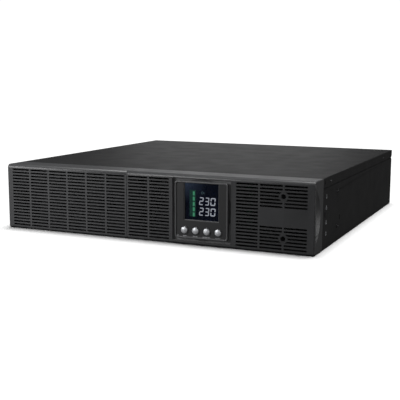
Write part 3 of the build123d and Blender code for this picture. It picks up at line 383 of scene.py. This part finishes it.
def lcd_back(name):
    """Dark panel with the faint grid of its unlit cells."""
    t = Tree(name)
    cells = t.add("ShaderNodeTexBrick", {"Vector": t.coords, "Scale": 400.0, "Mortar Size": 0.03})
    cells.inputs["Brick Width"].default_value = 0.5
    tone = t.mix(cells.outputs["Fac"], rgb(0.006, 0.010, 0.028), rgb(0.012, 0.020, 0.045))
    tone = t.mix(t.span(t.noise(24.0, 2.0), 0.0, 0.5), tone, rgb(0.010, 0.016, 0.040))
    axes = t.add("ShaderNodeSeparateXYZ", {"Vector": t.coords}).outputs
    low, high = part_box("lcd_panel")
    left = t.span(axes["X"], 1.0, 0.0, (low.x, low.x + 0.030))
    upper = t.span(axes["Z"], 0.0, 1.0, (high.z - 0.026, high.z))
    glow = t.math("MULTIPLY", t.math("MULTIPLY", left, upper), 0.09)
    return t.surface(
        {
            "Base Color": tone,
            "Roughness": t.span(t.noise(6.0), 0.2, 0.32),
            "Emission Color": rgb(0.55, 0.72, 1.0),
            "Emission Strength": glow,
        }
    )


def printed(name, colour):
    """Screen-printed ink, slightly porous."""
    t = Tree(name)
    pores = t.noise(0.35, 3.0)
    tone = t.mix(t.span(pores, 0.0, 0.5, (0.55, 0.8)), colour, scaled(colour, 0.6))
    return t.surface(
        {"Base Color": tone, "Roughness": t.span(pores, 0.5, 0.7), "Normal": t.bump(pores, 0.01)}
    )


def foil(name, colour):
    """Blank self-adhesive plate: matt metallised film with soft creases."""
    t = Tree(name)
    crease = t.noise(18.0, 4.0, rough=0.6)
    tone = t.mix(crease, scaled(colour, 0.85), scaled(colour, 1.1))
    return t.surface(
        {
            "Base Color": tone,
            "Metallic": 0.35,
            "Roughness": t.span(crease, 0.38, 0.55),
            "Normal": t.bump(crease, 0.12),
        }
    )


POWDER = textured("powder_black", rgb(0.009, 0.0091, 0.0094), 0.5, 0.9, 0.030, specular=0.12)
# A darker copy of the powder coat for the parts behind the front grille: painted shade, so the slots read
# black.
PAINTED_SHADE_BLACK = textured("powder_black_painted_shade", rgb(0.006, 0.006, 0.0064), 0.6, 0.9, 0.030, specular=0.1)
BEZEL = textured("bezel_charcoal", rgb(0.028, 0.0284, 0.030), 0.42, 0.55, 0.018, specular=0.4, rub_and_sheen=0.25)
BEADED = beaded("display_front", rgb(0.026, 0.0261, 0.027))
# Display plastic with fully paler edges: a painted highlight on its bead edges.
DISPLAY = textured("display_charcoal", rgb(0.026, 0.0261, 0.027), 0.3, 0.45, 0.008, rub_and_sheen=1.0)
SOCKET = textured("socket_black", rgb(0.018, 0.018, 0.020), 0.3, 0.7, 0.008, rub_and_sheen=0.3)
EPOXY = textured("component_epoxy", rgb(0.022, 0.022, 0.024), 0.5, 0.4, 0.02)
ABS = textured("battery_abs", rgb(0.055, 0.060, 0.068), 0.5, 1.1, 0.035, rub_and_sheen=0.5)
GREY = textured("connector_grey", rgb(0.30, 0.31, 0.33), 0.45, 0.8, 0.015)
GREEN = textured("terminal_green", rgb(0.02, 0.22, 0.07), 0.36, 0.8, 0.012)
RELAY = textured("relay_blue", rgb(0.02, 0.06, 0.22), 0.32, 0.8, 0.010)
CORE = textured("ferrite", rgb(0.045, 0.044, 0.046), 0.55, 0.6, 0.03)
RED = sleeve("wire_red", rgb(0.42, 0.012, 0.012), rgb(0.48, 0.03, 0.02))
BLUE_SLEEVE = sleeve("capacitor_sleeve", rgb(0.012, 0.02, 0.06), rgb(0.45, 0.47, 0.5))
ZINC = brushed("zinc_plate", rgb(0.66, 0.67, 0.69), 0.3, (1.0, 6.0, 6.0))
BLACK_SCREW = textured("black_oxide", rgb(0.02, 0.02, 0.021), 0.34, 0.5, 0.01, rub_and_sheen=0.7, metal=0.6)
NICKEL = brushed("nickel_plate", rgb(0.74, 0.73, 0.70), 0.22, (5.0, 1.0, 5.0))
WIRE_STEEL = brushed("guard_wire", rgb(0.70, 0.70, 0.71), 0.2, (4.0, 4.0, 1.0))
ALUMINIUM = brushed("extruded_aluminium", rgb(0.68, 0.69, 0.70), 0.34, (9.0, 1.0, 9.0))
TIN = brushed("tin_plate", rgb(0.68, 0.68, 0.66), 0.28, (1.0, 5.0, 5.0))
SHEET = galvanised("galvanised_sheet")
BOARD = circuit_board("circuit_board")
COPPER = winding("enamelled_copper")
RIBBON = striped("flat_cable", rgb(0.42, 0.42, 0.44), rgb(0.62, 0.58, 0.5), 1.27)
DOME = satin_dome("button_satin")
LENS = lens_clear("lens_smoked")
LCD = lcd_back("lcd_back")
WHITE_LIT = lit("segment_white", rgb(1.0, 0.97, 0.95), 0.8)
GREEN_LIT = lit("segment_green", rgb(0.22, 1.0, 0.45), 0.5)
GREEN_DIM = lit("segment_green_dim", rgb(0.18, 1.0, 0.60), 0.055)
SIGN_LIT = lit("segment_sign", rgb(0.65, 1.0, 1.0), 0.13)
# Pale grey for the pocket lining: painted light in the shaded gap round the display module.
PAINTED_LIGHT_GREY = textured("lining_grey_painted_light", rgb(0.14, 0.14, 0.143), 0.85, 0.35, 0.06, vary=0.12, rub_and_sheen=0.0, specular=0.1)
INK = printed("ink_pale", rgb(0.22, 0.225, 0.235))
PLATE = foil("blank_plate", rgb(0.55, 0.56, 0.57))
DARK_PLATE = foil("blank_plate_dark", rgb(0.10, 0.13, 0.20))

FINISH = {
    "case_steel": POWDER,
    "bezel_plastic": BEZEL,
    "zinc_steel": ZINC,
    "galvanised": SHEET,
    "black_screw": BLACK_SCREW,
    "circuit_green": BOARD,
    "heatsink_aluminium": ALUMINIUM,
    "component_black": EPOXY,
    "capacitor_sleeve": BLUE_SLEEVE,
    "copper_winding": COPPER,
    "transformer_core": CORE,
    "relay_case": RELAY,
    "tin_plate": TIN,
    "wire_red": RED,
    "socket_black": SOCKET,
    "contact_metal": NICKEL,
    "port_shell": TIN,
    "epo_green": GREEN,
    "battery_case": ABS,
    "battery_grey": GREY,
    "ribbon_grey": RIBBON,
    "display_plastic": DISPLAY,
    "lens": LENS,
    "lcd": LCD,
    "button_silver": DOME,
    "breaker_black": SOCKET,
}
SPECIAL = {
    "display_frame": BEADED,
    "fan_guard": WIRE_STEEL,
    # Parts seen through the front grille take the painted-shade black.
    "front_bulkhead": PAINTED_SHADE_BLACK,
    "battery_tray": PAINTED_SHADE_BLACK,
    "tray_handle": PAINTED_SHADE_BLACK,
    "tray_screws": BLACK_SCREW,
    "side_screws": BLACK_SCREW,
}
# Edge rounding of carried-over nodes, in millimetres.
SOFTEN = {
    "chassis_base": 0.3,
    "top_cover": 0.3,
    "front_bezel": 0.25,
    "front_cover": 0.25,
    "display_frame": 0.15,
    "tray_handle": 0.4,
    "battery_front": 0.8,
    "battery_middle": 0.8,
    "battery_rear": 0.8,
    "outlet_bank_a": 0.25,
    "outlet_bank_b": 0.25,
    "mains_inlet": 0.25,
    "fan_frame": 0.3,
    "transfer_relays": 0.3,
    "charger_transformer": 0.4,
    "battery_plug": 0.4,
    "slot_cover": 0.2,
}


def dress_cad_nodes():
    slots = {s["node"]: s["material_slot"] for s in frame["record"]["subparts"]}
    for name, obj in NODES.items():
        material = SPECIAL.get(name, FINISH[slots[name]])
        obj.data.materials.clear()
        obj.data.materials.append(material)
        if name in SOFTEN:
            weld = obj.modifiers.new("weld", "WELD")
            weld.merge_threshold = 0.00001
            bevel = obj.modifiers.new("soft_edges", "BEVEL")
            bevel.width = SOFTEN[name] * MM
            bevel.segments = 2
            bevel.limit_method = "ANGLE"
            bevel.angle_limit = math.radians(40)
            bevel.use_clamp_overlap = True
            bevel.harden_normals = True


# ------------------------------------------------------------------ mesh helpers
def finish_piece(mesh, name, material, body, bevel_mm=0.0):
    """Turns a bmesh into a named piece on a body."""
    data = bpy.data.meshes.new(name)
    bmesh.ops.recalc_face_normals(mesh, faces=mesh.faces)
    mesh.to_mesh(data)
    mesh.free()
    obj = bpy.data.objects.new(name, data)
    bpy.context.scene.collection.objects.link(obj)
    obj.data.materials.append(material)
    if bevel_mm:
        bevel = obj.modifiers.new("soft_edges", "BEVEL")
        bevel.width = bevel_mm * MM
        bevel.segments = 2
        bevel.limit_method = "ANGLE"
        bevel.angle_limit = math.radians(40)
    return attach(obj, body)


def add_box(mesh, x, y, z):
    """A box from three (low, high) pairs in metres."""
    size = [b - a for a, b in (x, y, z)]
    place = [(a + b) / 2 for a, b in (x, y, z)]
    matrix = Matrix.Translation(place) @ Matrix.Diagonal((*size, 1.0))
    return bmesh.ops.create_cube(mesh, size=1.0, matrix=matrix)["verts"]


def add_disc(mesh, place, radius, thick, sides=40):
    """Flat disc standing across Y."""
    matrix = Matrix.Translation(place) @ Matrix.Rotation(math.pi / 2, 4, "X")
    bmesh.ops.create_cone(
        mesh, cap_ends=True, segments=sides, radius1=radius, radius2=radius, depth=thick, matrix=matrix
    )


def add_prism(mesh, outline, y):
    """Closed prism along Y from an outline of (x, z) points."""
    front = [mesh.verts.new((px, y[0], pz)) for px, pz in outline]
    back = [mesh.verts.new((px, y[1], pz)) for px, pz in outline]
    mesh.faces.new(front)
    mesh.faces.new(list(reversed(back)))
    for i in range(len(outline)):
        j = (i + 1) % len(outline)
        mesh.faces.new((front[i], back[i], back[j], front[j]))


def add_ring(mesh, x, z, outer, inner, y, sides=32):
    """Flat ring standing across Y."""
    for i in range(sides):
        a, b = (2 * math.pi * k / sides for k in (i, i + 1))
        outline = [
            (x + outer * math.cos(a), z + outer * math.sin(a)),
            (x + outer * math.cos(b), z + outer * math.sin(b)),
            (x + inner * math.cos(b), z + inner * math.sin(b)),
            (x + inner * math.cos(a), z + inner * math.sin(a)),
        ]
        add_prism(mesh, outline, y)
    bmesh.ops.remove_doubles(mesh, verts=mesh.verts, dist=1e-7)


# ------------------------------------------------------------------ display face
SEGMENTS = {"2": "abged", "3": "abgcd", "0": "abcdef"}
LAYER = (SCREEN_FACE + 2.0 * MM, SCREEN_FACE + 2.25 * MM)  # between the lens and the panel


def digit_outlines(character, left, low, width, height):
    """Six-sided bars of one seven-segment digit, leaning slightly to the right."""
    bar = width * 0.2
    half = height / 2
    reach = {
        "a": (0, height - bar / 2, width, 0),
        "g": (0, half, width, 0),
        "d": (0, bar / 2, width, 0),
        "f": (bar / 2, half, half, 1),
        "b": (width - bar / 2, half, half, 1),
        "e": (bar / 2, 0, half, 1),
        "c": (width - bar / 2, 0, half, 1),
    }
    lean = 0.08
    outlines = []
    for segment in SEGMENTS[character]:
        x, z, length, upright = reach[segment]
        gap, tip = bar * 0.32, bar * 0.5
        start, end = gap, length - gap
        across = [(start, 0), (start + tip, tip), (end - tip, tip)]
        across += [(end, 0), (end - tip, -tip), (start + tip, -tip)]
        points = [(x - v, z + u) if upright else (x + u, z + v) for u, v in across]
        outlines.append([(left + px + lean * pz, low + pz) for px, pz in points])
    return outlines


def screen_graphics():
    """Two three-digit readings, a five-step bar and a small sign."""
    digits = bmesh.new()
    for low, height in ((6.8, 9.7), (-6.4, 9.9)):
        for left, width, character in ((-3.8, 5.5, "2"), (4.1, 5.2, "3"), (11.3, 6.6, "0")):
            outlines = digit_outlines(
                character, SCREEN.x + left * MM, SCREEN.z + low * MM, width * MM, height * MM
            )
            for outline in outlines:
                add_prism(digits, outline, LAYER)
    finish_piece(digits, "screen_digits", WHITE_LIT, "display_module")

    bar = bmesh.new()
    for i in range(5):
        low = SCREEN.z + (-8.3 + 6.64 * i) * MM
        add_box(bar, (SCREEN.x - 12.3 * MM, SCREEN.x - 9.8 * MM), LAYER, (low, low + 4.9 * MM))
    finish_piece(bar, "screen_bar", GREEN_LIT, "display_module", 0.1)

    halo = bmesh.new()
    behind = (LAYER[1] - 0.1 * MM, LAYER[1] + 0.05 * MM)
    for i in range(5):
        low = SCREEN.z + (-8.5 + 6.7 * i) * MM
        add_box(halo, (SCREEN.x - 16.8 * MM, SCREEN.x - 8.2 * MM), behind, (low, low + 6.7 * MM))
    finish_piece(halo, "screen_bar_halo", GREEN_DIM, "display_module", 0.1)

    sign = bmesh.new()
    add_ring(sign, SCREEN.x + 0.6 * MM, SCREEN.z + 22.0 * MM, 1.7 * MM, 1.1 * MM, LAYER, 20)
    add_box(
        sign,
        (SCREEN.x + 1.9 * MM, SCREEN.x + 3.6 * MM),
        LAYER,
        (SCREEN.z + 21.6 * MM, SCREEN.z + 22.4 * MM),
    )
    finish_piece(sign, "screen_sign", SIGN_LIT, "display_module")


def lens():
    """Thin clear pane behind the frame's opening, with its polished edge."""
    low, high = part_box("display_window")
    pane = bmesh.new()
    add_box(pane, (low.x, high.x), (low.y, low.y + 0.5 * MM), (low.z, high.z))
    piece = finish_piece(pane, "display_lens", LENS, "display_module", 0.12)
    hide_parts("display_window")


def pocket_lining():
    """Pale grey skin on the floor and walls of the module's pocket, clear of the turning drum: its pale
    colour is painted light in the pocket's shaded gap.
    """
    face = SCREEN_FACE - PLATE_SUNK
    inner, outer = POCKET_HALF - 0.1 * MM, POCKET_HALF - 0.01 * MM
    floor_y = (face + POCKET_DEEP - 0.3 * MM, face + POCKET_DEEP - 0.05 * MM)
    wall_y = (face + 0.4 * MM, floor_y[0])
    pale_skin = bmesh.new()
    steps = 64
    rim = []
    for k in range(steps):
        across, up = math.cos(2 * math.pi * k / steps), math.sin(2 * math.pi * k / steps)
        reach = inner / max(abs(across), abs(up))
        rim.append([(SCREEN.x + r * across, SCREEN.z + r * up) for r in (DRUM_HOLE, reach)])
    for near, far in zip(rim, rim[1:] + rim[:1]):
        add_prism(pale_skin, [near[0], near[1], far[1], far[0]], floor_y)
    for sign in (-1, 1):
        skin = sorted((sign * inner, sign * outer))
        add_box(pale_skin, (SCREEN.x - outer, SCREEN.x + outer), wall_y, tuple(SCREEN.z + v for v in skin))
        add_box(pale_skin, tuple(SCREEN.x + v for v in skin), wall_y, (SCREEN.z - inner, SCREEN.z + inner))
    finish_piece(pale_skin, "pocket_lining", PAINTED_LIGHT_GREY, "case")


def button_marks():
    """Plain bars under each button, a black ring over each dome's rim as painted shade for the dark gap
    round it, and a pale dot in the lower-left corner as a painted highlight.
    """
    y = (SCREEN_FACE - 0.06 * MM, SCREEN_FACE + 0.1 * MM)
    marks = bmesh.new()
    z = SCREEN.z - 33.2 * MM
    spans = ((-24.9, -19.3), (-11.4, -4.2), (2.0, 12.8), (19.6, 26.3))
    for count, (start, end) in enumerate(spans, start=1):
        pitch = (end - start) / count
        for k in range(count):
            left = SCREEN.x + (start + k * pitch) * MM
            add_box(marks, (left, left + (pitch - 0.7) * MM), y, (z - 0.65 * MM, z + 0.65 * MM))
    finish_piece(marks, "button_marks", INK, "display_module")

    base = SCREEN_FACE - 0.5 * MM
    # Black rings over the domes' outer rims: painted shade for the dark gap round each button.
    for node, body in BUTTONS.items():
        shade_ring = bmesh.new()
        spot = centre(node)
        add_ring(shade_ring, spot.x, spot.z, 4.9 * MM, 4.2 * MM, (base - 0.62 * MM, base), 40)
        finish_piece(shade_ring, node + "_skirt", SOCKET, body)

    # Pale dot at the module's lower-left corner: a painted highlight where the frame corner catches light.
    lamp = bmesh.new()
    spot = Vector((SCREEN.x - 31.8 * MM, SCREEN_FACE, SCREEN.z - 33.0 * MM))
    add_disc(lamp, spot, 0.8 * MM, 0.3 * MM)
    finish_piece(lamp, "corner_highlight_dot", INK, "display_module", 0.08)


# ------------------------------------------------------------------ inside and rear details
def battery_details():
    """Vent strip, blank plate and coloured terminal boots on each battery."""
    for index, node in enumerate(("battery_front", "battery_middle", "battery_rear")):
        low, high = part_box(node)
        mid = (low.x + high.x) / 2
        top = high.z
        lid = high.y - 5.0 * MM
        strip = bmesh.new()
        for k in range(6):
            x = mid + (k - 2.5) * 17.0 * MM
            add_disc(strip, Vector((x, lid + 0.25 * MM, low.z + 30 * MM)), 4.6 * MM, 0.5 * MM)
        strip_z = (low.z + 23.5 * MM, low.z + 36.5 * MM)
        add_box(strip, (mid - 55 * MM, mid + 55 * MM), (lid, lid + 0.35 * MM), strip_z)
        finish_piece(strip, f"vent_strip_{index}", ABS, "battery_drawer", 0.12)

        plate = bmesh.new()
        plate_y = (low.y + 14 * MM, lid - 22 * MM)
        add_box(plate, (mid - 44 * MM, mid + 44 * MM), plate_y, (top - 0.02 * MM, top + 0.12 * MM))
        finish_piece(plate, f"battery_plate_{index}", PLATE, "battery_drawer", 0.05)

        for side, material in ((-1, RED), (1, EPOXY)):
            boot = bmesh.new()
            x = mid + side * 62 * MM
            z = low.z + 54.4 * MM
            add_ring(boot, x, z, 5.0 * MM, 3.6 * MM, (lid, lid + 1.1 * MM), 28)
            name = f"terminal_collar_{index}_{'pn'[side > 0]}"
            finish_piece(boot, name, material, "battery_drawer", 0.1)


def cable_ties():
    """Nylon ties that hold the battery leads together over the blocks."""
    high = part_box("battery_leads")[1]
    ties = bmesh.new()
    for y in (-0.045, 0.005, 0.055):
        add_ring(ties, high.x - 13.5 * MM, high.z - 1.5 * MM, 2.1 * MM, 1.55 * MM, (y, y + 2.4 * MM), 16)
    finish_piece(ties, "cable_ties", GREY, "battery_drawer")


BOARD_EDGE = 8.0 * MM  # kept free along the board's edges
BIG_PARTS = """rectifier_heatsink inverter_heatsink input_filter charger_transformer transfer_relays
bus_capacitors control_board power_transistors""".split()
CHOKE_ZONES = (((0.030, -0.052), (0.086, 0.06)), ((0.122, -0.165), (0.178, -0.107)))
SMALL_PARTS = {
    # name: (material, half sizes and heights in mm, how many)
    "board_chips": (EPOXY, [(4.5, 3.2, 1.6), (3.0, 2.4, 1.3), (5.0, 5.0, 1.4)], 70),
    "board_film_capacitors": (RED, [(4.6, 2.4, 9.0), (6.5, 3.0, 12.0)], 14),
    "board_resistors": (TIN, [(1.6, 0.8, 0.6), (1.0, 0.5, 0.5)], 120),
    "board_terminals": (GREY, [(5.0, 4.2, 8.0), (7.5, 4.2, 8.0)], 8),
}


def taken_zones():
    """Board areas under the large parts, as (low x, low y, high x, high y)."""
    boxes = [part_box(node) for node in BIG_PARTS]
    zones = [(low.x, low.y, high.x, high.y) for low, high in boxes]
    return zones + [(*low, *high) for low, high in CHOKE_ZONES]


def free_spot(x, y, w, l, zones, posts, placed):
    """Whether a part of half sizes w and l at (x, y) stays clear of everything else."""
    gap = 1.0 * MM
    for x0, y0, x1, y1 in zones:
        if not (x + w < x0 - gap or x - w > x1 + gap or y + l < y0 - gap or y - l > y1 + gap):
            return False
    if any(math.dist((x, y), post) <= 9 * MM for post in posts):
        return False
    gap = 0.6 * MM
    return all(abs(x - px) > w + pw + gap or abs(y - py) > l + pl + gap for px, py, pw, pl in placed)


def board_components():
    """Small parts on the main board: chip resistors, film capacitors, terminals and driver chips."""
    low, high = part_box("main_board")
    top = high.z
    rng = random.Random(7)
    zones = taken_zones()
    first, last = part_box("board_standoffs")
    inset = 3.2 * MM
    posts = [(first.x + inset, y) for y in (first.y + inset, 0.005, last.y - inset)]
    placed = []
    for name, (material, sizes, count) in SMALL_PARTS.items():
        parts = bmesh.new()
        made = 0
        for _ in range(count * 30):
            if made == count:
                break
            w, l, h = (v * MM for v in rng.choice(sizes))
            x = rng.uniform(low.x + BOARD_EDGE, high.x - BOARD_EDGE)
            y = rng.uniform(low.y + BOARD_EDGE, high.y - BOARD_EDGE)
            if not free_spot(x, y, w, l, zones, posts, placed):
                continue
            placed.append((x, y, w, l))
            made += 1
            add_box(parts, (x - w, x + w), (y - l, y + l), (top - 0.05 * MM, top + h))
        finish_piece(parts, name, material, "case", 0.12)


def rear_details():
    """Blank rating plate, port frames' printed rules and the earth sign."""
    y = (PANEL_Y - 0.02 * MM, PANEL_Y + 0.08 * MM)
    ink = bmesh.new()
    earth = centre("ground_screw")
    for k, half in enumerate((2.2, 1.4, 0.6)):
        z = earth.z + 8.2 * MM - k * 1.0 * MM
        add_box(ink, (earth.x - half * MM, earth.x + half * MM), y, (z - 0.2 * MM, z + 0.2 * MM))
    add_box(ink, (earth.x - 0.2 * MM, earth.x + 0.2 * MM), y, (earth.z + 8.2 * MM, earth.z + 10.6 * MM))
    for node in ("usb_port", "serial_port", "epo_header", "network_jacks"):
        low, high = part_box(node)
        z = high.z + 3.0 * MM
        add_box(ink, (low.x, high.x), y, (z, z + 0.4 * MM))
        for x in (low.x, high.x):
            add_box(ink, (x - 0.2 * MM, x + 0.2 * MM), y, (z - 1.6 * MM, z + 0.4 * MM))
    finish_piece(ink, "rear_print", INK, "case")

    plate = bmesh.new()
    low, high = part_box("slot_cover")
    add_box(
        plate,
        (low.x + 24 * MM, high.x - 24 * MM),
        (high.y - 0.03 * MM, high.y + 0.08 * MM),
        (low.z + 11.5 * MM, high.z - 11.5 * MM),
    )
    finish_piece(plate, "slot_plate", PLATE, "case", 0.03)

    hub = bmesh.new()
    spot = centre("fan_rotor")
    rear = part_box("fan_rotor")[1].y
    add_disc(hub, Vector((spot.x, rear + 0.03 * MM, spot.z)), 13.0 * MM, 0.16 * MM, sides=48)
    finish_piece(hub, "fan_hub_plate", DARK_PLATE, "fan_wheel", 0.03)


# ------------------------------------------------------------------ stage, light, camera
def stage():
    floor = bmesh.new()
    bmesh.ops.create_grid(floor, x_segments=1, y_segments=1, size=12.0)
    data = bpy.data.meshes.new("floor")
    floor.to_mesh(data)
    floor.free()
    obj = bpy.data.objects.new("floor", data)
    obj.location.z = cad_box[0].z - 0.0002
    bpy.context.scene.collection.objects.link(obj)
    t = Tree("floor_pale")
    seen = t.add("ShaderNodeLightPath").outputs["Is Camera Ray"]
    pale = t.mix(t.noise(900.0, 2.0), rgb(0.90, 0.90, 0.90), rgb(0.92, 0.92, 0.92))
    tone = t.mix(seen, rgb(0.09, 0.09, 0.09), pale)
    obj.data.materials.append(t.surface({"Base Color": tone, "Roughness": 0.7, "Specular IOR Level": 0.0}))

    world = bpy.data.worlds.new("studio")
    bpy.context.scene.world = world
    world.use_nodes = True
    nodes, links = world.node_tree.nodes, world.node_tree.links
    path = nodes.new("ShaderNodeLightPath")
    level = nodes.new("ShaderNodeMapRange")
    level.inputs["To Min"].default_value = AMBIENT
    level.inputs["To Max"].default_value = 1.05
    links.new(path.outputs["Is Camera Ray"], level.inputs["Value"])
    links.new(level.outputs["Result"], nodes["Background"].inputs["Strength"])
    nodes["Background"].inputs["Color"].default_value = (1.0, 1.0, 1.0, 1.0)


def aim_light(name, data, place, target):
    obj = bpy.data.objects.new(name, data)
    obj.location = place
    obj.rotation_euler = (Vector(target) - Vector(place)).to_track_quat("-Z", "Y").to_euler()
    bpy.context.scene.collection.objects.link(obj)
    return obj


def area_light(name, place, target, size, power):
    data = bpy.data.lights.new(name, "AREA")
    data.shape = "RECTANGLE"
    data.size, data.size_y = size
    data.energy = power
    return aim_light(name, data, place, target)


def lights():
    """Even overhead light from slightly behind; a flagged spot and softboxes that spare the floor."""
    sun = bpy.data.lights.new("overhead", "SUN")
    sun.energy = 3.9
    sun.angle = math.radians(26)
    aim_light("overhead", sun, (0.02, 0.42, 3.0), (0.0, 0.0, 0.0))
    spot = bpy.data.lights.new("key", "SPOT")
    spot.energy = 66
    spot.spot_size = math.radians(41)
    spot.spot_blend = 0.7
    spot.shadow_soft_size = 0.35
    flagged = [
        aim_light("key", spot, (-0.78, -0.98, 0.4), (-0.19, FACE_Y, 0.05)),
        area_light("top", (-0.35, -0.35, 0.8), (0.0, FACE_Y, 0.09), (1.0, 0.3), 0.9),
        area_light("rim", (-0.9, 2.3, 0.62), (0.0, 0.0, 0.08), (1.0, 0.7), 2.0),
        area_light("side", (1.9, 0.38, 0.12), (0.2, -0.2, 0.04), (0.5, 0.3), 8.0),
        area_light("fill", (0.62, -1.45, 0.34), (0.05, FACE_Y, 0.045), (0.5, 0.4), 2.0),
    ]
    spared = bpy.data.collections.new("flagged_from")
    spared.objects.link(bpy.data.objects["floor"])
    spared.collection_objects[0].light_linking.link_state = "EXCLUDE"
    for light in flagged:
        light.light_linking.receiver_collection = spared


def camera():
    """Long lens, low and to the right of the front, as a catalogue view."""
    data = bpy.data.cameras.new("camera")
    data.lens = 72.625
    data.sensor_width = 36.0
    data.clip_start = 0.05
    data.clip_end = 60.0
    obj = bpy.data.objects.new("camera", data)
    azimuth, elevation, roll = (math.radians(v) for v in (24.36, 8.964, 0.172))
    turn = Matrix.Rotation(azimuth, 3, "Z") @ Matrix.Rotation(math.pi / 2 - elevation, 3, "X")
    obj.location = (0.47798, FACE_Y - 0.89661, 0.21264)
    obj.rotation_euler = (turn @ Matrix.Rotation(roll, 3, "Z")).to_euler()
    bpy.context.scene.collection.objects.link(obj)
    bpy.context.scene.camera = obj


bpy.context.scene.view_settings.view_transform = "Standard"
dress_cad_nodes()
lens()
screen_graphics()
pocket_lining()
button_marks()
battery_details()
cable_ties()
board_components()
rear_details()
stage()
lights()
camera()
